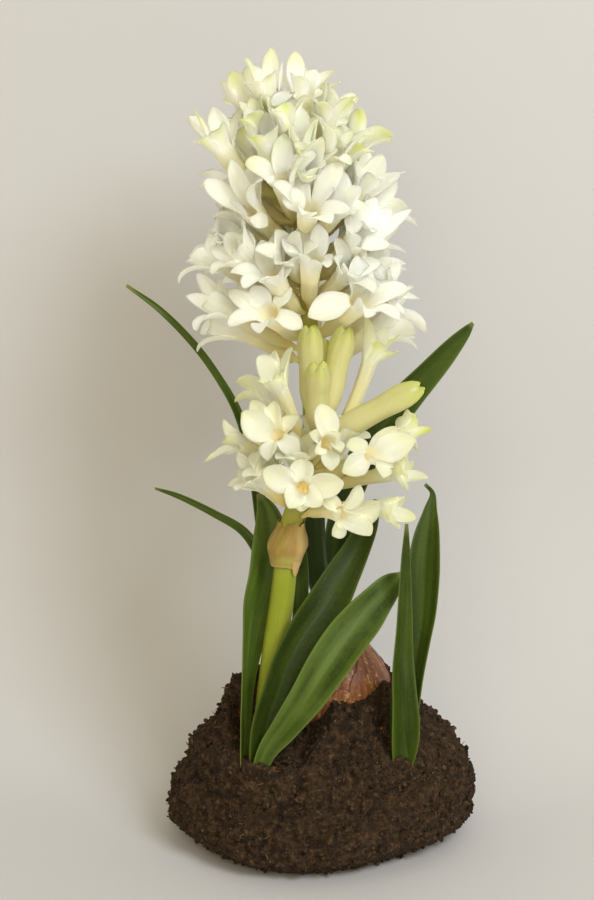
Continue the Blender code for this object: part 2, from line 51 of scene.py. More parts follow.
def rgb(r, g, b):
    """Linear colour of an sRGB colour given from 0 to 255."""
    return tuple(((c / 255 + 0.055) / 1.055) ** 2.4 if c > 10 else c / 255 / 12.92
                 for c in (r, g, b)) + (1.0,)


# ================================================================== camera
cam = bpy.data.objects.new("camera", bpy.data.cameras.new("camera"))
cam.location = (-0.00923715, -0.92970361, 0.4096055)
cam.rotation_euler = (math.radians(75), 0, 0)
cam.data.lens = 100
cam.data.sensor_width = 36
cam.data.clip_start, cam.data.clip_end = 0.01, 20
bpy.context.scene.collection.objects.link(cam)
bpy.context.scene.camera = cam
bpy.context.scene.view_settings.view_transform = 'Standard'

# ============================================================ measured tables
CLOD_WIDEST = (61.0, 61.0, 56.0, 52.0, 53.5, 58.0, 60.5, 55.0, 52.0, 48.0, 46.5, 52.0)
CLOD_SHOULDER = (51.5, 49.0, 45.0, 42.5, 43.5, 46.0, 48.5, 46.5, 46.0, 45.0, 44.5, 46.5)
CLOD_RIM = (36.5, 35.5, 33.0, 31.0, 33.0, 36.0, 38.5, 36.5, 34.0, 30.0, 31.0, 34.0)
CLOD_PROFILE = ((0.0, 0.84, 0, 0), (2.5, 0.92, 0, 0), (7.0, 0.98, 0, 0), (13.0, 1.0, 0, 0),
                (22.0, 0.84, 0.17, 0), (33.0, 0.45, 0.56, 0), (45.0, 0, 1.0, 0),
                (54.0, 0, 0.54, 0.48), (61.0, 0, 0.08, 0.95), (65.0, 0, 0, 0.92),
                (66.6, 0, 0, 0.74), (66.0, 0, 0, 0.38))

BULB_PLACE = (8.0, 0.0, 60.0)
BULB_PROFILE = ((-27.0, 4.5), (-23.5, 10.5), (-16.0, 16.4), (-7.0, 19.2), (0.0, 19.6),
                (7.0, 19.0), (14.0, 16.4), (20.0, 12.2), (25.0, 8.2), (28.0, 6.4))

TALL_STALK = ((6.2, 2.0, 89.8, 4.4), (5.3, 2.1, 93.5, 4.4), (0.8, 3.0, 102.0, 4.4), (-2.0, 5.0, 116.0, 4.3),
              (-3.0, 10.0, 151.0, 4.0), (-4.0, 14.0, 198.0, 3.4), (-8.0, 16.0, 256.0, 2.4),
              (-11.0, 17.0, 284.0, 1.8))
SHORT_STALK = ((-22.4, -29.2, 50.0, 3.7), (-21.6, -28.4, 61.0, 4.0), (-19.8, -26.6, 76.5, 4.2),
               (-17.5, -25.0, 92.0, 4.5), (-15.1, -24.0, 107.5, 4.6), (-13.8, -23.3, 119.5, 4.5),
               (-12.2, -22.4, 134.0, 4.4), (-8.0, -20.0, 150.0, 3.4), (-3.6, -17.6, 167.0, 2.6))

# x, y, z, half width, cup, turn
LEAVES = {
    "left_wrap_leaf": ((-29.6, -34.5, 38.0, 2.8, 0.30, 54), (-29.8, -33.0, 52.0, 3.2, 0.30, 56),
                       (-29.4, -29.6, 64.0, 3.5, 0.24, 56), (-28.4, -25.6, 77.0, 4.1, 0.22, 50),
                       (-26.6, -20.7, 91.5, 5.6, 0.26, 36), (-24.2, -17.2, 104.0, 6.9, 0.32, 20),
                       (-21.0, -15.5, 116.0, 7.0, 0.35, 8), (-19.4, -13.5, 129.0, 6.6, 0.35, 0),
                       (-20.4, -12.0, 139.0, 4.4, 0.30, 0), (-24.0, -11.5, 146.3, 0.8, 0.20, 0)),
    "lower_left_leaf": ((-14.0, -13.0, 57.0, 2.4, 0.4, 0), (-15.0, -10.0, 78.5, 2.6, 0.4, 0),
                        (-18.2, -6.0, 101.5, 2.6, 0.4, 0), (-22.4, -4.5, 117.5, 2.3, 0.5, -10),
                        (-29.4, -3.5, 129.0, 2.1, 0.5, -20), (-41.0, -3.0, 136.5, 2.0, 0.5, -30),
                        (-54.0, -1.0, 142.4, 1.6, 0.5, -30), (-64.2, 2.0, 144.7, 0.6, 0.4, -30)),
    "front_leaf_upper": ((-24.0, -35.0, 39.0, 3.4, 0.55, 6), (-22.8, -37.0, 53.0, 4.9, 0.60, 6),
                         (-20.6, -38.0, 64.5, 5.8, 0.60, 4), (-16.4, -37.0, 76.0, 6.2, 0.60, 2),
                         (-12.0, -34.0, 87.0, 6.6, 0.58, 0), (-5.4, -29.5, 97.5, 7.3, 0.52, -6),
                         (3.0, -23.0, 107.5, 7.7, 0.40, -12), (8.4, -18.0, 116.0, 6.6, 0.35, -14),
                         (13.8, -13.0, 124.5, 5.2, 0.35, -14), (18.1, -9.0, 133.0, 3.8, 0.3, -14),
                         (21.6, -5.0, 142.0, 1.2, 0.2, -14)),
    "front_leaf_lower": ((-25.4, -38.0, 38.5, 2.2, 0.45, -4), (-20.6, -41.0, 53.0, 3.6, 0.50, -8),
                         (-13.2, -43.0, 63.8, 5.2, 0.50, -12), (-5.5, -43.0, 75.0, 6.6, 0.48, -14),
                         (1.2, -40.0, 85.2, 7.8, 0.44, -16), (8.9, -35.0, 95.0, 8.0, 0.42, -16),
                         (15.1, -30.0, 101.5, 7.6, 0.35, -16), (21.3, -24.0, 107.5, 6.2, 0.30, -16),
                         (26.4, -19.0, 112.0, 4.4, 0.30, -16), (31.0, -14.5, 115.0, 1.2, 0.2, -16)),
    "upper_right_leaf": ((12.0, 26.0, 57.0, 3.4, 0.5, 0), (10.4, 22.0, 82.0, 3.6, 0.5, 0),
                         (6.6, 20.0, 97.0, 4.0, 0.5, 0), (5.6, 18.5, 110.0, 4.4, 0.5, 0),
                         (7.0, 17.0, 123.0, 5.0, 0.5, 0), (10.4, 15.0, 138.0, 5.6, 0.5, 4),
                         (16.1, 12.5, 155.0, 6.2, 0.5, 8), (23.0, 10.5, 166.5, 6.6, 0.5, 12),
                         (31.4, 9.0, 179.0, 6.6, 0.5, 16), (40.1, 9.0, 189.0, 5.8, 0.5, 20),
                         (49.0, 9.5, 198.5, 4.4, 0.4, 22), (55.0, 10.5, 204.5, 2.6, 0.3, 24),
                         (58.4, 11.5, 208.0, 0.8, 0.2, 24)),
    "upper_left_leaf": ((-16.5, 20.5, 57.0, 3.0, 0.5, 0), (-18.0, 22.0, 75.5, 3.0, 0.5, 0),
                        (-20.0, 23.0, 100.5, 3.0, 0.5, 0), (-23.0, 23.0, 125.5, 2.8, 0.5, 0),
                        (-27.0, 22.5, 150.5, 2.1, 0.6, 0), (-32.4, 22.0, 170.0, 1.7, 0.7, 0),
                        (-40.1, 21.5, 184.5, 1.5, 0.7, 0), (-49.7, 21.5, 198.0, 1.4, 0.7, 0),
                        (-62.5, 22.5, 211.0, 1.2, 0.6, 0), (-75.4, 24.0, 220.2, 0.6, 0.4, 0)),
    "middle_leaf": ((-11.5, -19.5, 57.0, 2.4, 0.45, 0), (-10.8, -18.0, 69.0, 2.6, 0.45, 0),
                    (-9.2, -15.0, 84.5, 2.9, 0.45, 8), (-8.1, -12.0, 99.5, 3.0, 0.45, 10),
                    (-7.7, -9.4, 113.0, 2.8, 0.4, 10), (-8.1, -8.0, 124.5, 2.0, 0.4, 10),
                    (-8.9, -7.5, 132.0, 0.8, 0.3, 10)),
}
RIGHT_SHEATH = ((31.2, -27.0, 37.0, 4.2), (31.7, -29.5, 47.0, 4.6), (31.4, -29.3, 59.0, 5.0),
                (31.4, -28.3, 69.0, 5.0), (31.8, -27.4, 76.5, 4.4))
RIGHT_FRONT_BLADE = ((30.8, -28.0, 38.0, 2.2, 0.95, 2), (31.2, -31.6, 46.0, 3.8, 0.95, 4), (31.4, -33.4, 54.0, 5.0, 0.95, 8),
                     (31.2, -33.6, 62.0, 5.4, 0.85, 14), (30.2, -32.4, 76.0, 5.0, 0.70, 24),
                     (29.9, -30.2, 88.0, 4.5, 0.6, 30), (30.4, -29.5, 100.5, 3.8, 0.6, 34),
                     (31.0, -28.0, 113.5, 2.9, 0.5, 34), (31.6, -26.5, 126.5, 2.0, 0.4, 30),
                     (32.1, -25.0, 138.3, 0.7, 0.3, 30))
RIGHT_BACK_BLADE = ((33.0, -28.4, 46.0, 2.6, 0.5, -16), (34.2, -27.4, 62.0, 3.6, 0.5, -20),
                    (35.8, -24.4, 76.0, 4.2, 0.5, -24),
                    (38.2, -20.6, 90.5, 4.8, 0.5, -24), (39.7, -17.3, 103.5, 5.9, 0.5, -22),
                    (40.2, -13.8, 116.5, 6.5, 0.45, -20), (41.0, -10.0, 129.0, 5.0, 0.4, -16),
                    (42.1, -6.5, 138.0, 2.6, 0.3, -10), (43.0, -3.5, 144.0, 1.0, 0.3, -4),
                    (40.2, -1.4, 147.2, 0.7, 0.2, 0))

# stalk height of the foot, azimuth, reach, rise, final rise angle, lobe length, opening
TALL_FLORETS = (
    (282, -142, 11.5, 12, 76, 13, 44), (277, -66, 9.6, 18, 78, 13, 46), (278, 168, 17, 13, 52, 13, 50),
    (256, -160, 28, 19, 62, 14, 48), (256, -121, 19, 20, 68, 14, 40), (265, -28, 14, 20, 68, 13, 44),
    (252, -44, 19, 22, 66, 14, 44), (243, -10, 24, 15.5, 56, 15, 48), (246, -104, 22, 18.4, 50, 14, 56),
    (239, -142, 23, 14, 52, 16, 56), (235, -83, 23, 18.8, 46, 15, 56), (214, -84, 24, 21, 55, 15, 56),
    (224, -39, 23.5, 16.5, 46, 15, 56), (203, -48, 28, 15.5, 40, 16, 58), (202, -17, 28, 16, 38, 16, 56),
    (197, -161, 30, 17, 36, 16, 54), (220, -145, 25.2, 13.8, 44, 15, 54), (212, -117, 25, 16.5, 50, 14, 52),
    (201, -124, 26, 14, 34, 15, 52), (190, 4, 25, 13, 30, 14, 48), (213, 178, 30, 17, 38, 15, 54),
    (268, 70, 14, 18, 64, 13, 46), (259, 110, 20, 18, 58, 14, 48), (254, 24, 22, 18, 54, 14, 50),
    (244, 68, 24, 18, 52, 15, 52), (236, 140, 26, 18, 48, 15, 54), (228, 18, 27, 18, 46, 15, 54),
    (220, 92, 27, 17, 44, 15, 54), (212, 48, 28, 17, 40, 16, 54), (204, 136, 28, 16, 36, 16, 54),
    (196, 84, 28, 13, 30, 16, 54), (194, 30, 28, 13, 30, 16, 54), (192, 168, 26, 11, 24, 15, 50),
)
SHORT_FLORETS = (
    (159, -135, 16.8, 14.3, 40, 14, 56), (153, 176, 25, 13, 22, 14, 52), (157, -73, 17.2, 15, 20, 13, 60),
    (155, -33, 24.5, 11, 26, 14, 56), (150, 18, 34, 18, 28, 13, 44), (150, -5, 31.4, 7, 12, 13, 50),
    (147, -92, 17.8, 8.8, 6, 14, 60), (141, -48, 22, 5, 2, 14, 60), (141, -18, 31, 5, 0, 13, 50),
    (161, -168, 11.5, 27, 62, 13, 46), (159, 140, 18, 20, 54, 13, 48), (158, 35, 26.5, 37, 68, 14, 44),
    (146, 132, 20, 12, 30, 14, 52),
)
BUDS = (
    ((-2.6, -15.6, 174.0), (-4.0, -12.5, 211.5), 4.9), ((-1.6, -18.2, 170.0), (-1.0, -24.5, 200.0), 4.6),
    ((1.2, -14.8, 174.0), (9.6, -11.0, 210.5), 4.7), ((-0.4, -18.0, 168.5), (37.0, -25.0, 191.0), 4.8),
    ((-1.0, -13.4, 174.0), (1.0, -3.0, 204.0), 4.2),
)


# =================================================================== helpers
def along(rows, count):
    """count + 1 rows read from the smooth curve through the given rows."""
    rows = np.array(rows, float)
    last = len(rows) - 1
    ext = np.vstack([2 * rows[0] - rows[1], rows, 2 * rows[-1] - rows[-2]])
    out = []
    for i in range(count + 1):
        u = last * i / count
        k = min(int(u), last - 1)
        t = u - k
        a, b, c, d = ext[k:k + 4]
        out.append(0.5 * (2 * b + (c - a) * t + (2 * a - 5 * b + 4 * c - d) * t * t
                          + (3 * b - a - 3 * c + d) * t ** 3))
    return np.array(out)


def at_height(rows, z):
    fine = along(rows, 60)
    return (Vector([float(np.interp(z, fine[:, 2], fine[:, k])) for k in (0, 1)] + [z]),
            float(np.interp(z, fine[:, 2], fine[:, 3])))


def unit(v):
    v = np.asarray(v, float)
    n = np.linalg.norm(v, axis=-1, keepdims=True)
    return v / np.maximum(n, 1e-9)


def smooth01(x):
    x = np.clip(x, 0, 1)
    return x * x * (3 - 2 * x)


class Piece:
    """A mesh under construction: points in millimetres, one map place and one
    tint (three masks) a point."""

    def __init__(self):
        self.verts, self.faces, self.maps, self.tints = [], [], [], []
        self.count = 0

    def points(self, pts, uv=None, tint=None):
        pts = np.asarray(pts, float).reshape(-1, 3)
        n = len(pts)
        self.verts.append(pts)
        self.maps.append(np.zeros((n, 2)) if uv is None else np.asarray(uv, float).reshape(-1, 2))
        self.tints.append(np.zeros((n, 3)) if tint is None
                          else np.broadcast_to(np.asarray(tint, float), (n, 3)))
        start = self.count
        self.count += n
        return start

    def grid(self, start, rows, cols, closed=False):
        """Faces of a rows x cols block of points; closed joins its last column to its first."""
        for i in range(rows - 1):
            a = start + i * cols
            for k in range(cols if closed else cols - 1):
                k2 = (k + 1) % cols
                self.faces.append((a + k, a + k2, a + cols + k2, a + cols + k))

    def build(self, name, mat, slot, replaces=(), sharp=None):
        verts = np.vstack(self.verts) * MM
        uv = np.vstack(self.maps)
        tint = np.vstack(self.tints)
        mesh = bpy.data.meshes.new(name)
        mesh.from_pydata(verts.tolist(), [], self.faces)
        bm = bmesh.new()
        bm.from_mesh(mesh)
        bmesh.ops.recalc_face_normals(bm, faces=bm.faces)
        bm.to_mesh(mesh)
        bm.free()
        loops = np.empty(len(mesh.loops), np.int32)
        mesh.loops.foreach_get("vertex_index", loops)
        layer = mesh.uv_layers.new(name="place")
        layer.data.foreach_set("uv", uv[loops].astype(np.float32).ravel())
        att = mesh.attributes.new("tint", 'FLOAT_VECTOR', 'POINT')
        att.data.foreach_set("vector", tint.astype(np.float32).ravel())
        mesh.materials.append(mat)
        mesh.shade_smooth()
        if sharp:
            mesh.set_sharp_from_angle(angle=math.radians(sharp))
        obj = bpy.data.objects.new(name, mesh)
        bpy.context.scene.collection.objects.link(obj)
        if replaces:
            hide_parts(*replaces)
        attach(obj, "root")
        return obj


# ================================================================= materials
class Nodes:
    """Short hand for a procedural material."""

    def __init__(self, name):
        self.mat = bpy.data.materials.new(name)
        self.mat.use_nodes = True
        self.tree = self.mat.node_tree
        self.shader = self.tree.nodes["Principled BSDF"]
        self.out = self.tree.nodes["Material Output"]

    def add(self, kind, **sets):
        n = self.tree.nodes.new(kind)
        for k, v in sets.items():
            setattr(n, k, v)
        return n

    def link(self, a, b):
        self.tree.links.new(a, b)

    def set(self, **values):
        for k, v in values.items():
            self.shader.inputs[k.replace("_", " ")].default_value = v

    def coords(self, scale=(1, 1, 1), kind="Object"):
        tex = self.add("ShaderNodeTexCoord")
        mp = self.add("ShaderNodeMapping")
        mp.inputs["Scale"].default_value = scale
        self.link(tex.outputs[kind], mp.inputs["Vector"])
        return mp.outputs["Vector"]

    def uv(self, scale=(1, 1, 1)):
        tex = self.add("ShaderNodeUVMap", uv_map="place")
        mp = self.add("ShaderNodeMapping")
        mp.inputs["Scale"].default_value = scale
        self.link(tex.outputs["UV"], mp.inputs["Vector"])
        return mp.outputs["Vector"]

    def noise(self, vec, scale, detail=3.0, rough=0.55, out="Fac", distort=0.0):
        n = self.add("ShaderNodeTexNoise")
        n.inputs["Scale"].default_value = scale
        n.inputs["Detail"].default_value = detail
        n.inputs["Roughness"].default_value = rough
        n.inputs["Distortion"].default_value = distort
        self.link(vec, n.inputs["Vector"])
        return n.outputs[out]

    def ramp(self, fac, *stops):
        r = self.add("ShaderNodeValToRGB")
        els = r.color_ramp.elements
        while len(els) < len(stops):
            els.new(0.5)
        for el, (pos, col) in zip(els, stops):
            el.position = pos
            el.color = col if len(col) == 4 else (*col, 1)
        self.link(fac, r.inputs["Fac"])
        return r.outputs["Color"]

    def grey(self, fac, lo, hi, a=0.0, b=1.0):
        """fac from lo..hi mapped to a..b, clamped."""
        m = self.add("ShaderNodeMapRange")
        m.inputs["From Min"].default_value = lo
        m.inputs["From Max"].default_value = hi
        m.inputs["To Min"].default_value = a
        m.inputs["To Max"].default_value = b
        self.link(fac, m.inputs["Value"])
        return m.outputs["Result"]

    def mix(self, fac, a, b, kind='MIX'):
        m = self.add("ShaderNodeMix", data_type='RGBA', blend_type=kind)
        for socket, value in ((m.inputs[0], fac), (m.inputs[6], a), (m.inputs[7], b)):
            if isinstance(value, (int, float)):
                socket.default_value = value
            elif isinstance(value, tuple):
                socket.default_value = value
            else:
                self.link(value, socket)
        return m.outputs[2]

    def math(self, op, a, b=0.0, c=None):
        m = self.add("ShaderNodeMath", operation=op)
        for i, value in enumerate((a, b) if c is None else (a, b, c)):
            if isinstance(value, (int, float)):
                m.inputs[i].default_value = value
            else:
                self.link(value, m.inputs[i])
        return m.outputs[0]

    def split(self, vec):
        s = self.add("ShaderNodeSeparateXYZ")
        self.link(vec, s.inputs[0])
        return s.outputs

    def tint(self):
        a = self.add("ShaderNodeAttribute", attribute_name="tint")
        return self.split(a.outputs["Vector"])

    def bump(self, height, strength, distance, normal=None):
        b = self.add("ShaderNodeBump")
        b.inputs["Strength"].default_value = strength
        b.inputs["Distance"].default_value = distance
        self.link(height, b.inputs["Height"])
        if normal is not None:
            self.link(normal, b.inputs["Normal"])
        return b.outputs["Normal"]


def petal_material(name, bright, creamy, veined, cup, base):
    m = Nodes(name)
    t = m.tint()
    s = m.split(m.uv((1, 1, 1)))
    veins = m.noise(m.uv((38, 1.6, 1)), 1.0, 4.0, 0.6)
    cloud = m.noise(m.coords((1, 1, 1)), 90.0, 2.0, 0.5)
    fine = m.noise(m.coords((1, 1, 1)), 1500.0, 2.0, 0.5)
    white = m.mix(m.grey(cloud, 0.35, 0.7), bright, creamy)
    white = m.mix(m.grey(veins, 0.40, 0.75, 0.0, 0.40), white, veined)
    # from the tube's cream up to the white of the lobe; the yellow low on the tube is partly painted warm glow
    cream = m.mix(m.grey(s[1], 0.40, 0.60), cup, white)
    cream = m.mix(m.grey(s[1], 0.12, 0.42), base, cream)
    # painted warm glow: the second tint mask turns throats and tube feet gold, over the flower's own cream
    gold = m.mix(t[1], cream, rgb(245, 224, 166))
    green = m.mix(t[0], gold, rgb(210, 216, 100))
    final = m.mix(t[2], green, rgb(246, 226, 168))
    m.link(final, m.shader.inputs["Base Color"])
    h = m.math('ADD', m.math('MULTIPLY', veins, 0.7), m.math('MULTIPLY', cloud, 0.5))
    h = m.math('ADD', h, m.math('MULTIPLY', fine, 0.06))
    m.link(m.bump(h, 0.35, 0.0004), m.shader.inputs["Normal"])
    m.link(m.grey(veins, 0.3, 0.7, 0.46, 0.62), m.shader.inputs["Roughness"])
    m.shader.subsurface_method = 'BURLEY'
    m.set(Subsurface_Weight=0.94, Subsurface_Scale=0.0050, Specular_IOR_Level=0.22, Sheen_Weight=0.12,
          Sheen_Roughness=0.6)
    m.shader.inputs["Subsurface Radius"].default_value = (1.0, 1.0, 1.0)
    return m.mat


def leaf_material(name, dark, mid, light, edge):
    m = Nodes(name)
    uv = m.uv((1, 1, 1))
    s = m.split(uv)
    t = m.tint()
    lines = m.noise(m.uv((34, 0.9, 1)), 1.0, 4.0, 0.6)
    patches = m.noise(m.coords(), 45.0, 3.0, 0.6)
    fibre = m.noise(m.coords(), 900.0, 2.0, 0.6)
    broad = m.noise(m.uv((3.2, 0.45, 1)), 1.0, 2.0, 0.5)
    col = m.ramp(broad, (0.34, dark), (0.52, mid), (0.70, light))
    col = m.mix(m.grey(lines, 0.35, 0.7, 0.0, 0.35), col, mid)
    col = m.mix(m.grey(patches, 0.44, 0.70, 0.0, 0.45), col, light)
    col = m.mix(m.grey(fibre, 0.55, 0.75, 0.0, 0.18), col, edge)
    # first mask: paler margins, and a faint painted highlight along the keel
    col = m.mix(m.math('MULTIPLY', t[0], 0.85), col, edge)      # margins and keel
    col = m.mix(m.math('MULTIPLY', t[1], 0.9), col, rgb(70, 56, 36))  # soil on the foot
    col = m.mix(m.math('MULTIPLY', t[2], 0.8), col, rgb(140, 142, 78))  # dry tip
    m.link(col, m.shader.inputs["Base Color"])
    h = m.math('ADD', m.math('MULTIPLY', lines, 0.8), m.math('MULTIPLY', fibre, 0.25))
    m.link(m.bump(h, 0.4, 0.0004), m.shader.inputs["Normal"])
    m.link(m.grey(patches, 0.3, 0.7, 0.38, 0.52), m.shader.inputs["Roughness"])
    m.set(Specular_IOR_Level=0.24)
    return m.mat


def stalk_material():
    m = Nodes("stalk")
    s = m.split(m.uv())
    lines = m.noise(m.uv((40, 0.5, 1)), 1.0, 3.0, 0.6)
    patches = m.noise(m.coords(), 60.0, 3.0, 0.6)
    t = m.tint()
    col = m.mix(m.grey(lines, 0.30, 0.75), rgb(146, 158, 36), rgb(162, 171, 48))
    col = m.mix(m.grey(patches, 0.45, 0.7, 0, 0.4), col, rgb(180, 184, 78))
    # pale yellow up inside the heads: the rachis's own pale colour, deepened as painted warm glow
    col = m.mix(t[0], col, rgb(200, 190, 104))
    col = m.mix(t[1], col, rgb(118, 132, 40))
    col = m.mix(t[2], col, rgb(46, 64, 18))         # painted shade: the tall stalk darkened low down, where it stands in deep shadow
    m.link(col, m.shader.inputs["Base Color"])
    m.link(m.bump(lines, 0.4, 0.0004), m.shader.inputs["Normal"])
    m.link(m.grey(patches, 0.3, 0.7, 0.36, 0.5), m.shader.inputs["Roughness"])
    m.set(Subsurface_Weight=0.15, Subsurface_Scale=0.002, Specular_IOR_Level=0.25)
    return m.mat


def collar_material():
    m = Nodes("dry_collar")
    fibres = m.noise(m.uv((22, 1.4, 1)), 1.0, 5.0, 0.65)
    blot = m.noise(m.coords(), 140.0, 3.0, 0.6)
    t = m.tint()
    col = m.ramp(fibres, (0.28, rgb(150, 122, 48)), (0.5, rgb(172, 146, 66)), (0.75, rgb(186, 164, 86)))
    col = m.mix(m.grey(blot, 0.42, 0.66, 0, 0.6), col, rgb(164, 120, 58))
    col = m.mix(t[0], col, rgb(178, 180, 84))       # where the stalk shows through
    col = m.mix(t[1], col, rgb(216, 184, 122))      # dry, paler edges
    m.link(col, m.shader.inputs["Base Color"])
    m.link(m.bump(m.math('ADD', fibres, blot), 0.4, 0.0004), m.shader.inputs["Normal"])
    m.link(m.grey(blot, 0.3, 0.7, 0.45, 0.7), m.shader.inputs["Roughness"])
    m.set(Subsurface_Weight=0.1, Subsurface_Scale=0.001)
    return m.mat


def bulb_material():
    m = Nodes("bulb_skin")
    t = m.tint()
    fibres = m.noise(m.uv((46, 1.5, 1)), 1.0, 5.0, 0.65, distort=0.4)
    blot = m.noise(m.coords(), 110.0, 4.0, 0.6)
    flecks = m.noise(m.coords(), 520.0, 3.0, 0.7)
    col = m.ramp(fibres, (0.26, rgb(100, 54, 28)), (0.46, rgb(144, 84, 43)), (0.62, rgb(170, 106, 55)),
                 (0.8, rgb(202, 146, 82)))
    col = m.mix(m.grey(blot, 0.46, 0.68, 0, 0.6), col, rgb(116, 60, 36))
    col = m.mix(m.grey(flecks, 0.56, 0.66, 0, 0.9), col, rgb(214, 174, 104))
    col = m.mix(t[0], col, rgb(60, 42, 28))
    m.link(col, m.shader.inputs["Base Color"])
    h = m.math('ADD', m.math('MULTIPLY', fibres, 1.0), m.math('MULTIPLY', flecks, 0.5))
    m.link(m.bump(h, 0.7, 0.0006), m.shader.inputs["Normal"])
    m.link(m.grey(blot, 0.3, 0.7, 0.28, 0.5), m.shader.inputs["Roughness"])
    m.set(Specular_IOR_Level=0.6)
    return m.mat


def soil_material():
    m = Nodes("peat")
    t = m.tint()
    grain = m.noise(m.coords(), 420.0, 6.0, 0.7)
    clump = m.noise(m.coords(), 85.0, 4.0, 0.6)
    cells = m.add("ShaderNodeTexVoronoi", feature='F1')
    cells.inputs["Scale"].default_value = 700.0
    m.link(m.coords(), cells.inputs["Vector"])
    col = m.ramp(grain, (0.32, rgb(28, 20, 14)), (0.5, rgb(66, 51, 35)), (0.64, rgb(104, 78, 52)),
                 (0.76, rgb(172, 138, 96)))
    col = m.mix(m.grey(clump, 0.4, 0.66, 0, 0.5), col, rgb(84, 64, 44))
    col = m.mix(m.grey(cells.outputs["Distance"], 0.15, 0.55, 0.55, 0.0), col, rgb(48, 37, 27))
    col = m.mix(t[0], col, rgb(150, 122, 84))        # pale fibres
    col = m.mix(t[1], col, rgb(36, 27, 20))          # painted shade in the clod's hollows, and dark grains and fibres
    m.link(col, m.shader.inputs["Base Color"])
    h = m.math('ADD', m.math('MULTIPLY', grain, 1.0), m.math('MULTIPLY', cells.outputs["Distance"], 0.8))
    m.link(m.bump(h, 0.9, 0.0012), m.shader.inputs["Normal"])
    m.set(Roughness=0.95, Specular_IOR_Level=0.2)
    return m.mat


def bud_material():
    m = Nodes("bud")
    t = m.tint()
    lines = m.noise(m.uv((14, 1.2, 1)), 1.0, 3.0, 0.6)
    patches = m.noise(m.coords(), 80.0, 3.0, 0.6)
    col = m.mix(m.grey(lines, 0.35, 0.7), rgb(220, 218, 142), rgb(228, 224, 158))
    col = m.mix(m.grey(patches, 0.42, 0.7, 0, 0.6), col, rgb(232, 222, 162))
    col = m.mix(t[0], col, rgb(196, 202, 92))        # green towards the tip
    col = m.mix(t[1], col, rgb(238, 226, 176))       # cream towards the foot
    col = m.mix(t[2], col, rgb(236, 238, 222))       # painted highlight: white streaks on the lobe edges near the tip
    m.link(col, m.shader.inputs["Base Color"])
    m.link(m.bump(m.math('ADD', lines, patches), 0.35, 0.0005), m.shader.inputs["Normal"])
    m.link(m.grey(patches, 0.3, 0.7, 0.42, 0.56), m.shader.inputs["Roughness"])
    m.shader.subsurface_method = 'BURLEY'
    m.set(Subsurface_Weight=0.7, Subsurface_Scale=0.0035, Specular_IOR_Level=0.3)
    m.shader.inputs["Subsurface Radius"].default_value = (1.0, 1.0, 1.0)
    return m.mat


PETAL = petal_material("petal", rgb(233, 235, 231), rgb(233, 233, 219), rgb(227, 226, 202), rgb(247, 242, 206),
                       rgb(250, 236, 158))
# the shorter spike is still opening, and creamier
PETAL_YOUNG = petal_material("petal_young", rgb(221, 223, 213), rgb(222, 221, 197), rgb(213, 211, 174),
                             rgb(236, 230, 180), rgb(240, 224, 134))
LEAF = leaf_material("leaf", rgb(40, 54, 9), rgb(58, 76, 12), rgb(78, 98, 22), rgb(112, 130, 52))
# Below: the leaf colour made darker and made lighter, painted shade and painted light set per leaf.
LEAF_SHADED_COPY = leaf_material("leaf_shaded_copy", rgb(32, 45, 6), rgb(47, 63, 8), rgb(68, 86, 16), rgb(104, 120, 44))
LEAF_LIT_COPY = leaf_material("leaf_lit_copy", rgb(48, 66, 11), rgb(78, 100, 26), rgb(104, 126, 52), rgb(126, 144, 70))
STALK = stalk_material()
COLLAR = collar_material()
SKIN = bulb_material()
PEAT = soil_material()
BUD = bud_material()


# ======================================================================= soil
def outline(table, angle):
    n = len(table)
    u = (math.degrees(angle) / 30.0) % n
    k = int(u)
    t = u - k
    a, b, c, d = (table[(k + j) % n] for j in (-1, 0, 1, 2))
    return 0.5 * (2 * b + (c - a) * t + (2 * a - 5 * b + 4 * c - d) * t * t
                  + (3 * b - a - 3 * c + d) * t ** 3)


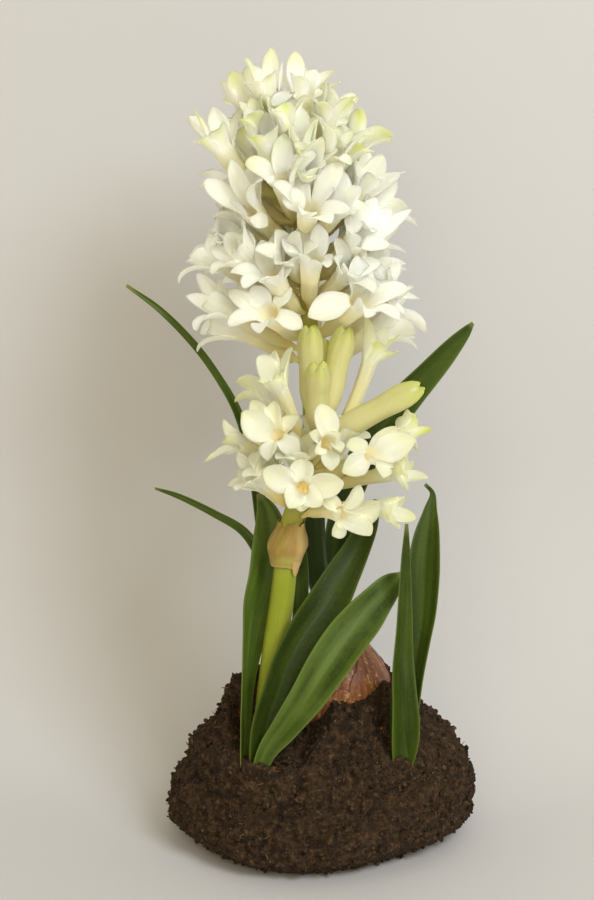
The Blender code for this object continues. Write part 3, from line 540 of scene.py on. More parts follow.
def clod():
    sides, rings = 300, 150
    profile = np.array(CLOD_PROFILE, float)
    fine = along(profile, 400)
    # even spacing down the profile, measured on a typical outline
    typical = fine[:, 1] * 54 + fine[:, 2] * 46 + fine[:, 3] * 34
    step = np.hypot(np.diff(typical), np.diff(fine[:, 0]))
    run = np.concatenate([[0], np.cumsum(step)])
    want = np.linspace(0, run[-1], rings - 24)
    rows = np.array([[np.interp(w, run, fine[:, k]) for k in range(4)] for w in want])
    piece = Piece()
    pts, tints, maps = [], [], []
    angles = [2 * math.pi * k / sides for k in range(sides)]
    out = [(outline(CLOD_WIDEST, a), outline(CLOD_SHOULDER, a), outline(CLOD_RIM, a)) for a in angles]
    centre = Vector((2.0, -2.0, 0))
    for j in range(rings):
        if j < len(rows):
            z, w, s, r = rows[j]
            inner = 1.0
        else:
            z, w, s, r = rows[-1]
            inner = 1.0 - (j - len(rows) + 1) / 24.0
        for k, a in enumerate(angles):
            rad = w * out[k][0] + s * out[k][1] + r * out[k][2]
            rad *= inner
            p = Vector((rad * math.cos(a), rad * math.sin(a), z))
            away = Vector((math.cos(a), math.sin(a), 0))
            n = away * 0.85 + Vector((0, 0, 0.25 if z < 55 else 1.0))
            if inner < 1:
                n = Vector((0, 0, 1.0))
            n.normalize()
            big = noise.noise(p * 0.055) * 2.2
            mid = noise.noise(p * 0.15 + Vector((9, 3, 5))) * 2.4
            small = noise.noise(p * 0.40 + Vector((2, 7, 1))) * 1.3
            cell = noise.voronoi(p * 0.36, distance_metric='DISTANCE', exponent=2.5)[0]
            crumb = (0.55 - min(cell[0], 0.9)) * 2.2
            cell2 = noise.voronoi(p * 0.85, distance_metric='DISTANCE', exponent=2.5)[0]
            grit = (0.5 - min(cell2[0], 0.9)) * 1.0
            lift = (big + mid + small + crumb + grit) * min(1.0, 0.25 + z / 6.0)
            # second mask: painted shade, darker where the skin dips into a hollow
            tints.append((0.0, max(0.0, min(1.0, -0.35 * (small + crumb + grit) + 0.1)), 0.0))
            maps.append((k / sides, j / rings))
            p = p + n * (lift - 0.6)
            # fuller shoulder on the right, jagged rim on the left
            turn = (a + math.pi) % (2 * math.pi) - math.pi
            p += away * 2.0 * math.exp(-(turn / 0.55) ** 2) * math.exp(-((z - 34) / 9) ** 2)
            p -= away * 6.6 * math.exp(-(turn / 0.70) ** 2) * math.exp(-((z - 56) / 9) ** 2)
            p -= away * (4.6 + 4.0 * math.exp(-((turn + 0.3) / 0.8) ** 2)) * math.exp(-(max(z, 0) / 6.5) ** 2)
            p += away * 4.8 * math.exp(-((turn + 0.80) / 0.30) ** 2) * math.exp(-((z - 43) / 7) ** 2)
            p -= away * 4.2 * math.exp(-((a - 3.14) / 0.60) ** 2) * math.exp(-((z - 54) / 12) ** 2)
            p += away * 3.0 * math.exp(-((a - 4.12) / 0.35) ** 2) * math.exp(-((z - 45) / 8) ** 2)
            left = math.exp(-((a - 2.95) / 0.45) ** 2) * float(smooth01((z - 52) / 10)) * (1 if inner > 0.75 else 0)
            p.z += left * (2.6 + 3.0 * noise.noise(Vector((a * 14, 3, 1))))
            # the low front left, where the leaves come out, and the mound beside it
            if z > 36:
                floor = (47.5 + 3.0 * float(smooth01((p.y + 38) / 26)) + min(15.0, 1.25 * max(0.0, p.x + 7))
                         + 9.0 * float(smooth01((p.x - 18) / 6)) + 0.6 * (lift - 0.6))
                share = float(smooth01((p.x + 37) / 7) * smooth01((-5 - p.y) / 5))
                p.z -= max(0.0, p.z - floor) * share
                mound = math.exp(-((p.x - 24) ** 2 / 30 + (p.y + 14) ** 2 / 40))
                p.z += 4.0 * mound
            p.z = max(p.z, 0.0)
            pts.append(p[:])
    start = piece.points(pts, maps, tints)
    piece.grid(start, rings, sides, closed=True)
    top = piece.points([tuple(np.mean(np.array(pts[-sides:]), 0))], [(0.5, 1)], [(0, 0, 0)])
    last = start + (rings - 1) * sides
    for k in range(sides):
        piece.faces.append((last + k, last + (k + 1) % sides, top))
    # flat underside, a fan
    low = np.array(pts[:sides])
    low[:, 2] = 0.0
    low = piece.points(low * np.array([0.985, 0.985, 1]), [(0.5, 0)] * sides, [(0, 0, 0)] * sides)
    for k in range(sides):
        piece.faces.append((low + (k + 1) % sides, low + k, start + k, start + (k + 1) % sides))
    mid = piece.points([(0, 0, 0)], [(0.5, 0)], [(0, 0, 0)])
    for k in range(sides):
        piece.faces.append((low + k, low + (k + 1) % sides, mid))
    surface = np.array(pts).reshape(rings, sides, 3)
    obj = piece.build("peat_clod", PEAT, "soil", ("soil_clod",))
    return obj, surface


rng = np.random.default_rng(7)
peat, peat_surface = clod()


def surface_points(count):
    """Places and outward directions spread over the clod's visible skin."""
    rings, sides, _ = peat_surface.shape
    a = peat_surface
    du = np.roll(a, -1, 1) - a
    dv = np.zeros_like(a)
    dv[:-1] = a[1:] - a[:-1]
    n = np.cross(du, dv)
    area = np.linalg.norm(n, axis=2)
    area[-1] = 0
    area[a[..., 2] < 1.0] *= 0.2
    share = (area / area.sum()).ravel()
    chosen = rng.choice(len(share), count, p=share)
    return a.reshape(-1, 3)[chosen], unit(n.reshape(-1, 3)[chosen])


def crumbs():
    """Loose grains of peat and short fibres bedded in the clod's skin."""
    piece = Piece()
    ico = bmesh.new()
    bmesh.ops.create_icosphere(ico, subdivisions=1, radius=1.0)
    base = np.array([v.co[:] for v in ico.verts])
    tris = [tuple(v.index for v in f.verts) for f in ico.faces]
    ico.free()
    places, outs = surface_points(3000)
    for p, n in zip(places, outs):
        size = 0.35 + 1.0 * rng.random() ** 2.6
        shape = base * (size * (0.65 + 0.7 * rng.random(3)))
        shape = shape * (0.8 + 0.4 * rng.random((len(base), 1)))
        q, _ = np.linalg.qr(rng.normal(size=(3, 3)))
        at = p + n * size * 0.25
        pts = shape @ q + at
        pts[:, 2] = np.maximum(pts[:, 2], 0.02)
        tone = rng.random()
        tint = (0.8 if tone > 0.975 and size < 0.75 else 0.35 * max(0, tone - 0.86) / 0.14, 0.8 * max(0, 0.45 - tone) / 0.45, 0)
        start = piece.points(pts, None, tint)
        piece.faces += [tuple(start + i for i in t) for t in tris]
    places, outs = surface_points(1100)
    for p, n in zip(places, outs):
        t = unit(np.cross(n, rng.normal(size=3)))
        t = unit(t + n * rng.normal() * 0.30)
        side = unit(np.cross(n, t))
        length = 1.2 + 3.0 * rng.random() ** 2
        width = 0.10 + 0.16 * rng.random()
        bend = rng.normal() * 0.25 * length
        pale = rng.random()
        rings = []
        for i in range(5):
            f = i / 4 - 0.5
            c = p + t * length * f + side * bend * (f * f - 0.12) + n * (0.15 + 0.25 * (0.25 - f * f) * 4)
            w = width * (1.0 - 1.4 * abs(f)) + 0.03
            rings.append([c + (side * math.cos(b) + n * math.sin(b)) * w
                          for b in (0.0, 2.094, 4.189)])
        pts = np.array(rings).reshape(-1, 3)
        pts[:, 2] = np.maximum(pts[:, 2], 0.02)
        start = piece.points(pts, None, (0.75 if pale > 0.72 else 0.25 * pale, 0.6 if pale < 0.3 else 0.0, 0))
        piece.grid(start, 5, 3, closed=True)
        piece.faces.append((start + 2, start + 1, start))
        piece.faces.append((start + 12, start + 13, start + 14))
    return piece.build("peat_crumbs", PEAT, "soil")


crumbs()


# ======================================================================= bulb
def bulb():
    piece = Piece()
    sides, rings = 120, 70
    profile = along(BULB_PROFILE, 200)
    run = np.concatenate([[0], np.cumsum(np.hypot(*np.diff(profile, axis=0).T))])
    want = np.linspace(0, run[-1], rings)
    pts, maps, tints = [], [], []
    for j, w in enumerate(want):
        z, r = (float(np.interp(w, run, profile[:, k])) for k in (0, 1))
        for k in range(sides):
            a = 2 * math.pi * k / sides
            rib = 0.22 * math.sin(9 * a + 0.7) + 0.14 * math.sin(23 * a + 2.0 + 0.05 * z)
            rough = noise.noise(Vector((6 * math.cos(a), 6 * math.sin(a), z * 0.05))) * 0.5
            fold = 0.55 * smooth01((math.sin(2 * a + 0.06 * z + 1.2) - 0.86) / 0.14)
            rr = max(r + (rib + rough + fold) * min(1, r / 12) - 0.15, 0.6)
            pts.append((BULB_PLACE[0] + rr * math.cos(a), BULB_PLACE[1] + rr * math.sin(a), BULB_PLACE[2] + z))
            maps.append((k / sides, j / rings))
            tints.append((0.75 * float(smooth01((-4 - z) / 10)), 0, 0))
    start = piece.points(pts, maps, tints)
    piece.grid(start, rings, sides, closed=True)
    for base, z in ((0, BULB_PROFILE[0][0]), ((rings - 1) * sides, BULB_PROFILE[-1][0])):
        c = piece.points([(BULB_PLACE[0], BULB_PLACE[1], BULB_PLACE[2] + z)], [(0.5, 0)], [(0.5, 0, 0)])
        for k in range(sides):
            piece.faces.append((start + base + k, start + base + (k + 1) % sides, c))
    # papery scales of the outer coat, standing off a little
    for a0, span, low, high, off in ((-2.2, 1.5, -14, 17, 0.5), (-0.9, 1.3, -10, 19, 0.35), (0.6, 1.6, -12, 13, 0.3),
                                     (2.3, 1.7, -12, 18, 0.6), (-1.6, 0.9, -16, 9, 0.8)):
        rows, cols = 18, 16
        sheet = np.zeros((rows, cols, 3))
        for i in range(rows):
            f = i / (rows - 1)
            for k in range(cols):
                g = k / (cols - 1)
                tear = 2.2 * noise.noise(Vector((g * 7, a0, 0))) + 1.6 * math.sin(g * 5 + a0)
                z = low + (high - low + tear) * f - 6 * (2 * g - 1) ** 2 * f
                r = float(np.interp(z, profile[:, 0], profile[:, 1]))
                edge = off * (0.35 + 0.65 * max(abs(2 * g - 1) ** 3, f ** 4))
                a = a0 + span * (g - 0.5) * (1 - 0.25 * f)
                rr = r + 0.35 + edge + 0.25 * noise.noise(Vector((g * 9, f * 3, a0)))
                sheet[i, k] = (BULB_PLACE[0] + rr * math.cos(a), BULB_PLACE[1] + rr * math.sin(a),
                               BULB_PLACE[2] + z)
        shell(piece, sheet, 0.22, uv=lambda i, k, a0=a0: (a0 + k / 46, i / 18), tint=lambda i, k: (0, 0, 0))
    return piece.build("bulb_coat", SKIN, "bulb_skin", ("bulb",))


def grid_normals(sheet):
    du = np.zeros_like(sheet)
    dv = np.zeros_like(sheet)
    du[:, 1:-1] = sheet[:, 2:] - sheet[:, :-2]
    du[:, 0] = sheet[:, 1] - sheet[:, 0]
    du[:, -1] = sheet[:, -1] - sheet[:, -2]
    dv[1:-1] = sheet[2:] - sheet[:-2]
    dv[0] = sheet[1] - sheet[0]
    dv[-1] = sheet[-1] - sheet[-2]
    return unit(np.cross(du, dv))


def shell(piece, sheet, thick, uv, tint):
    """A thin closed shell over a grid of points."""
    rows, cols, _ = sheet.shape
    n = grid_normals(sheet)
    t = thick if not np.isscalar(thick) else np.full((rows, cols), thick)
    front = sheet + n * t[..., None] / 2
    back = sheet - n * t[..., None] / 2
    maps = [uv(i, k) for i in range(rows) for k in range(cols)]
    tints = [tint(i, k) for i in range(rows) for k in range(cols)]
    a = piece.points(front, maps, tints)
    b = piece.points(back, maps, tints)
    piece.grid(a, rows, cols)
    for i in range(rows - 1):
        for k in range(cols - 1):
            q = b + i * cols + k
            piece.faces.append((q, q + cols, q + cols + 1, q + 1))
    rim = ([(0, k) for k in range(cols)] + [(i, cols - 1) for i in range(1, rows)]
           + [(rows - 1, k) for k in range(cols - 2, -1, -1)] + [(i, 0) for i in range(rows - 2, 0, -1)])
    for (i, k), (i2, k2) in zip(rim, rim[1:] + rim[:1]):
        piece.faces.append((a + i * cols + k, b + i * cols + k, b + i2 * cols + k2, a + i2 * cols + k2))


bulb()


# ===================================================================== stalks
def stem_rings(rows, sides, count, shape=None):
    fine = along(rows, count)
    pts = fine[:, :3]
    tang = np.zeros_like(pts)
    tang[1:-1] = pts[2:] - pts[:-2]
    tang[0], tang[-1] = pts[1] - pts[0], pts[-1] - pts[-2]
    tang = unit(tang)
    side = np.array([1.0, 0, 0])
    rings = np.zeros((count + 1, sides, 3))
    for i in range(count + 1):
        side = unit(side - tang[i] * side.dot(tang[i]))
        up = np.cross(tang[i], side)
        for k in range(sides):
            a = 2 * math.pi * k / sides
            r = fine[i, 3] * (1 if shape is None else shape(i / count, a))
            rings[i, k] = pts[i] + (side * math.cos(a) + up * math.sin(a)) * r
    return rings


def stem(name, rows, node, shape, tint, count=90, sides=36):
    piece = Piece()
    rings = stem_rings(rows, sides, count, shape)
    maps = [(k / sides, i / count) for i in range(count + 1) for k in range(sides)]
    tints = [tint(i / count, 2 * math.pi * k / sides, rings[i, k]) for i in range(count + 1) for k in range(sides)]
    start = piece.points(rings, maps, tints)
    piece.grid(start, count + 1, sides, closed=True)
    piece.faces.append(tuple(range(start, start + sides))[::-1])
    piece.faces.append(tuple(range(start + count * sides, start + (count + 1) * sides)))
    return piece.build(name, STALK, "stalk", (node,), sharp=70)


# third tint mask of the tall stalk: painted shade low down, fading out by 168 mm
stem("tall_flower_stalk", ((6.9, 1.6, 82.0, 4.7), (6.6, 1.8, 86.0, 4.6)) + TALL_STALK, "tall_stalk",
     lambda f, a: 1 + 0.035 * math.sin(7 * a) + 0.02 * math.sin(3 * a + 9 * f),
     lambda f, a, p: (0.7 * float(smooth01((f - 0.5) / 0.3)), 0.35 * float(smooth01((0.35 - f) / 0.3)),
                      float(smooth01((168 - p[2]) / 30)) * (0.35 + 0.65 * float(smooth01((p[2] - 88) / 14)))))
stem("short_flower_stalk", SHORT_STALK, "short_stalk",
     lambda f, a: 1 + 0.03 * math.sin(5 * a + 1) + 0.02 * math.sin(2 * a + 7 * f),
     lambda f, a, p: (0.6 * float(smooth01((f - 0.72) / 0.12)), 0.55 * float(smooth01((0.3 - f) / 0.3)), 0),
     count=80)


def collar():
    piece = Piece()
    sides, rows = 72, 30
    swell = ((0.0, 1.3), (0.10, 1.6), (0.25, 2.2), (0.40, 2.75), (0.52, 2.5), (0.70, 1.5), (0.85, 0.95), (1.0, 0.85))
    sheet = np.zeros((rows, sides + 1, 3))
    tints = np.zeros((rows, sides + 1, 3))
    for i in range(rows):
        f = i / (rows - 1)
        for k in range(sides + 1):
            a = 2 * math.pi * k / sides
            low = 123.4 + 1.9 * math.sin(a) + 0.6 * math.sin(3 * a + 0.5)
            high = 138.2 + 0.8 * math.sin(4 * a + 1) + 0.6 * math.sin(9 * a)
            z = low + (high - low) * f
            axis, r = at_height(SHORT_STALK, z)
            grow = float(np.interp(f, [q[0] for q in swell], [q[1] for q in swell]))
            grow *= 1 + 0.22 * math.cos(2 * a)
            crease = (0.10 * math.sin(9 * a + 5 * f) + 0.07 * math.sin(17 * a + 3)
                      + 0.30 * noise.noise(Vector((math.cos(a) * 3, math.sin(a) * 3, f * 4))))
            rr = r + grow + crease * (0.5 + 0.6 * f)
            sheet[i, k] = (axis.x + rr * math.cos(a), axis.y + rr * math.sin(a), z)
            front = math.exp(-((a - 4.75) / 0.75) ** 2)
            tints[i, k] = (0.75 * front * math.exp(-((f - 0.16) / 0.12) ** 2),
                           0.8 * math.exp(-((a - 5.55) / 0.30) ** 2) + 0.5 * max(0.0, 1 - f / 0.06), 0)
    sheet, tints = sheet[:, :-1], tints[:, :-1]
    inner = sheet.copy()
    for i in range(rows):
        c = sheet[i].mean(0)
        inner[i] = c + (sheet[i] - c) * 0.93
    maps = [(k / sides, i / rows) for i in range(rows) for k in range(sides)]
    a = piece.points(sheet, maps, tints.reshape(-1, 3))
    b = piece.points(inner, maps, tints.reshape(-1, 3))
    piece.grid(a, rows, sides, closed=True)
    for i in range(rows - 1):
        for k in range(sides):
            k2 = (k + 1) % sides
            piece.faces.append((b + i * sides + k, b + (i + 1) * sides + k, b + (i + 1) * sides + k2, b + i * sides + k2))
    for row in (0, rows - 1):
        for k in range(sides):
            k2 = (k + 1) % sides
            piece.faces.append((a + row * sides + k, b + row * sides + k, b + row * sides + k2, a + row * sides + k2))
    # the torn flap that hangs from the hem in front
    flap = np.zeros((9, 7, 3))
    for i in range(9):
        f = i / 8
        for k in range(7):
            g = k / 6
            ang = math.radians(-48 + 34 * (g - 0.5))
            z = 125.0 - 6.6 * f * (1 - 0.55 * (2 * g - 1) ** 2)
            axis, r = at_height(SHORT_STALK, z)
            rr = r + 1.3 + 0.5 * math.sin(3 * f) + 0.3 * noise.noise(Vector((g * 4, f * 4, 3)))
            flap[i, k] = (axis.x + rr * math.cos(ang), axis.y + rr * math.sin(ang), z)
    shell(piece, flap, 0.3, uv=lambda i, k: (k / 30, i / 20), tint=lambda i, k: (0, 0.8, 0))
    return piece.build("papery_collar", COLLAR, "dry_collar", ("short_stalk_collar",), sharp=60)


collar()


# ===================================================================== leaves
def blade_sheet(rows, steps, cols, keel=0.55, wave=0.25, seed=0.0):
    """Middle surface of a strap leaf: a channel with a keel along its midrib."""
    fine = along(rows, steps)
    pts = fine[:, :3]
    tang = np.zeros_like(pts)
    tang[1:-1] = pts[2:] - pts[:-2]
    tang[0], tang[-1] = pts[1] - pts[0], pts[-1] - pts[-2]
    tang = unit(tang)
    sheet = np.zeros((steps + 1, cols, 3))
    for i in range(steps + 1):
        t = Vector(tang[i])
        half, cup, turn = fine[i, 3:6]
        half = max(half, 0.35)
        f = i / steps
        side = t.cross(Vector((0, -1, 0))).normalized()
        face = side.cross(t)
        spin = Matrix.Rotation(math.radians(turn), 3, t)
        side, face = spin @ side, spin @ face
        for k in range(cols):
            u = 2 * k / (cols - 1) - 1
            w = half * (1 + 0.05 * noise.noise(Vector((f * 6, (1 if u > 0 else -1) * 3, seed))))
            rise = cup * half * (keel * abs(u) ** 1.15 + (1 - keel) * u * u)
            ripple = wave * abs(u) ** 2 * noise.noise(Vector((f * 9, u * 1.2, seed + 4))) * min(1, half / 4)
            sheet[i, k] = np.array(Vector(pts[i]) + side * (u * w) + face * (rise + ripple))
    return sheet


def leaf_piece(piece, rows, steps=64, cols=15, thick=0.95, seed=0.0, soil=0.06, dry=0.05, keel=0.55, wave=0.35):
    sheet = blade_sheet(rows, steps, cols, keel, wave, seed)
    u = np.linspace(-1, 1, cols)[None, :]
    f = np.linspace(0, 1, steps + 1)[:, None]
    widths = along(rows, steps)[:, 3][:, None]
    t = (thick * (1 - 0.72 * np.abs(u) ** 1.6) + 0.10) * np.minimum(1, 0.35 + widths / 5)

    def tint(i, k):
        uu = abs(2 * k / (cols - 1) - 1)
        ff = i / steps
        # paler margins, plus a faint painted highlight along the keel
        edge = float(smooth01((uu - 0.84) / 0.16)) * 0.7 + 0.06 * float(smooth01((0.12 - uu) / 0.12))
        dirt = float(smooth01((soil - ff) / max(soil, 1e-6)))
        return (edge, dirt, float(smooth01((ff - (1 - dry)) / max(dry, 1e-6))))
    shell(piece, sheet, t, uv=lambda i, k: (k / (cols - 1), i / steps * 4 + seed), tint=tint)


for number, (name, rows) in enumerate(LEAVES.items()):
    piece = Piece()
    leaf_piece(piece, rows, seed=1.7 * number)
    # Darker and lighter copies of the leaf colour, handed to single leaves as painted shade and painted light.
    leaf_shading = {"front_leaf_upper": LEAF_SHADED_COPY, "front_leaf_lower": LEAF_LIT_COPY, "left_wrap_leaf": LEAF_LIT_COPY,
           "upper_left_leaf": LEAF_LIT_COPY, "lower_left_leaf": LEAF_LIT_COPY}.get(name, LEAF)
    piece.build("strap_" + name, leaf_shading, "leaf", (name,), sharp=70)

piece = Piece()
rings = stem_rings(RIGHT_SHEATH, 30, 40, lambda f, a: 1 + 0.03 * math.sin(4 * a))
start = piece.points(rings, [(k / 30, i / 40) for i in range(41) for k in range(30)],
                     [(0, float(smooth01((0.3 - i / 40) / 0.3)), 0) for i in range(41) for k in range(30)])
piece.grid(start, 41, 30, closed=True)
piece.faces.append(tuple(range(start, start + 30))[::-1])
piece.faces.append(tuple(range(start + 40 * 30, start + 41 * 30)))
leaf_piece(piece, RIGHT_FRONT_BLADE, seed=20.0, soil=0.0)
leaf_piece(piece, RIGHT_BACK_BLADE, seed=23.0, soil=0.0)
piece.build("strap_right_leaf_pair", LEAF, "leaf", ("right_leaf_pair",), sharp=70)


# ==================================================================== florets
LOBE_COLS, LOBE_ROWS = 10, 16
TUBE_T = (0.0, 0.05, 0.14, 0.24, 0.33, 0.42, 0.52, 0.62, 0.72, 0.81, 0.89, 0.95, 1.0)
TUBE_R = ((0.0, 1.2), (0.10, 1.3), (0.22, 2.2), (0.36, 3.7), (0.52, 4.1), (0.68, 4.1), (0.84, 4.5), (1.0, 5.2))
RIGHT = np.array([1.0, 0.0, 0.0])
RISE = np.array([0.0, 0.2588, 0.9659])       # up, for someone who looks down by 15 degrees
FRONT = np.array([0.0, -0.9659, 0.2588])

# Where lobe tips of the front florets stand from the middle of their mouth: to
# the right, up and to the front; then the half width and how green the tip is.
REACH = {
    "tall_01": ((-9.2, 14.7, 4, 3.8, 0.9), (1.4, 19.4, -2, 3.6, 0.9), (4.9, 13.2, 5, 3, 0.1)),
    "tall_02": ((-3.1, 17.4, -2, 3.4, 0.9), (12.3, 9.8, 1, 4, 0.8), (4.6, 11.1, -4, 4.2, 0.1),
                 (-11.2, -3.8, 9, 4, 0), (7.2, 2.1, 4, 3.2, 0.5)),
    "tall_03": ((-10.2, 8.8, 3, 3.8, 0), (-9.8, 1.6, -4, 4, 1), (-1.8, 11.9, -4, 3.2, 0.3)),
    "tall_04": ((-12.2, 14.9, 2, 2.9, 1), (-13.9, 14, -4, 3.4, 0.2), (-4.2, 16.8, -2, 4, 0.1),
                 (6.6, 16.4, 3, 4, 0)),
    "tall_05": ((-8.2, 16.1, 3, 3.7, 0.1), (-0.3, 13.7, 6, 3.2, 0), (6.5, 14, 1, 3.6, 0.3)),
    "tall_06": ((5.9, 8.8, 2, 3.9, 0.5), (-2.3, 8.6, -2, 3.6, 0.1), (6.9, 2.7, -3, 3.2, 0.4)),
    "tall_07": ((2.4, 9.6, 2, 2.7, 0.8), (8.6, 9, 0, 2.7, 0.8), (6.6, -4.9, 7, 3.2, 0.4)),
    "tall_08": ((8.2, 13.8, 3, 4.4, 0), (2.3, 16.8, -1, 4, 0), (14.1, 7.2, -2, 2.8, 0.1), (-3.9, 13.1, 3, 4, 0)),
    "tall_09": ((6.5, -10.9, 9, 4.4, 0), (-6.3, -0.7, 6, 3.8, 0.1)),
    "tall_10": ((-0.2, 17.4, 3, 4.4, 0), (-18.4, 11.8, -1, 4.2, 0), (-8.4, 3.2, 6, 3, 0), (5.1, -6.1, 6, 3.4, 0)),
    "tall_11": ((15.6, 0.2, 6, 3.9, 0), (12.2, 19.4, 0, 4.4, 0.2), (-6.5, 22.6, -2, 3, 0.1)),
    "tall_12": ((2.7, 14.4, 4, 3.8, 0), (-10.6, 10.1, 2, 3.7, 0), (-4.2, 14.3, -3, 3.8, 0.1),
                 (8.4, 0.2, 5, 3.2, 0)),
    "tall_13": ((14.2, -1.3, 5, 4, 0), (9.4, 17.4, 1, 4, 0.1), (15.3, 13.4, 0, 4, 0), (22.6, 13.5, -3, 2.6, 0.1),
                 (3.1, 15.1, -2, 4, 0)),
    "tall_14": ((-1, 18.7, 3, 6.2, 0), (-18.5, -4.1, 8, 5.8, 0), (10, 14.8, 0, 4.4, 0)),
    "tall_15": ((8.4, 14.5, 2, 4, 0), (13.2, 5.4, 4, 4.4, 0), (3.6, 15.8, -2, 3.8, 0), (15.7, 0, 0, 3.8, 0),
                 (9.9, -5.9, 3, 3.4, 0)),
    "tall_16": ((-18.4, 5.1, 2, 4.8, 0), (-14.6, 14.4, -3, 3.6, 0), (-5.6, 12.8, 3, 3.4, 0), (2.6, 10.9, 3, 4, 0)),
    "tall_17": ((-9.2, 10.3, 3, 4.4, 0), (-1.6, 12.7, 1, 3.6, 0), (-14.9, 5.2, -4, 3.4, 0.1)),
    "tall_18": ((-0.6, 16.6, 3, 3.7, 0), (-5.1, 15, -1, 3.6, 0.1), (6.1, 6.4, 4, 3, 0)),
    "tall_19": ((8, 9.9, 4, 3.6, 0), (12.5, -5.3, 7, 3.6, 0), (-6.6, 10.8, 2, 4.4, 0)),
    "short_01": ((-14, 9.7, 3, 5.4, 0.15), (-10.9, 13.7, -3, 3.8, 0), (-2, 13.5, -2, 4, 0),
                 (6.6, 7.9, 3, 3.8, 0.1), (-4.5, -8.1, 6, 4.2, 0.2), (7.4, -6.2, 5, 3.8, 0.2)),
    "short_02": ((-8.6, 10.1, 2, 3.8, 0), (-8.7, 1.1, 3, 3.4, 0.5), (-15.3, -6.1, 3, 2.8, 0),
                 (4.5, -10.2, 6, 3.4, 0.1)),
    "short_03": ((-2.2, 14.9, 4, 4.4, 0), (1.9, -9.5, 5, 3.6, 0), (4.3, 4.2, 8, 2.8, 0), (-5.4, 4.2, 7, 2.6, 0),
                 (5.2, -3.6, 7, 2.6, 0), (-4.2, -4.0, 7, 2.6, 0)),
    "short_04": ((18.1, 7.2, 3, 5.4, 0.1), (-8.1, 4.2, 5, 3.4, 0), (-8.9, -5.4, 7, 4.4, 0.2),
                 (5.8, -8, 8, 4.4, 0.2), (11.3, 11.3, 0, 4.6, 0.1)),
    "short_05": ((13.5, 3, 0, 2.4, 0.9), (5.3, 5.7, -3, 3, 0.5), (7.9, -6.2, -1, 3.4, 0.1)),
    "short_06": ((14.9, -1.2, 2, 4.2, 0), (9.8, 4.1, 0, 3.2, 0.5), (7, -6.8, 3, 3.6, 0.1)),
    "short_07": ((-14.5, 6.7, 4, 5.4, 0), (-0.3, 11.1, 1, 4.6, 0), (14.9, 1.5, 5, 5, 0.15),
                 (-5.8, -7.3, 6, 4.2, 0)),
    "short_08": ((-6.3, 6.1, 4, 3, 0.1), (8.9, 10.2, 1, 4, 0.1), (16.2, 3.2, 5, 5.2, 0.15),
                 (12.4, -7.1, 8, 4.8, 0.1), (-2.3, -8.2, 6, 4, 0.1)),
    "short_09": ((10.7, 3.9, 3, 4.6, 0), (7.7, -8, 4, 4.4, 0), (15, -3.7, 0, 3, 0.7)),
    "short_10": ((3, 16.9, 2, 4, 0), (-8.8, 13.7, 2, 4.8, 0.1), (-2.3, 15.8, -3, 3.8, 0)),
    "short_12": ((-1.5, 19.9, 2, 4.2, 0.15), (11.9, 10.4, -2, 3, 0), (11, 4.9, 2, 3, 0), (6.7, 13.9, -4, 3.6, 0)),
}
WIDE = {"tall": 0.84, "short": 0.58, "inner": 0.70}       # how wide the bells are
# THROAT: how gold each throat is painted, the cream throat deepened into painted warm glow
THROAT = {"short_01": 1.0, "short_04": 1.0, "short_07": 0.9, "short_08": 0.8, "short_03": 0.6}


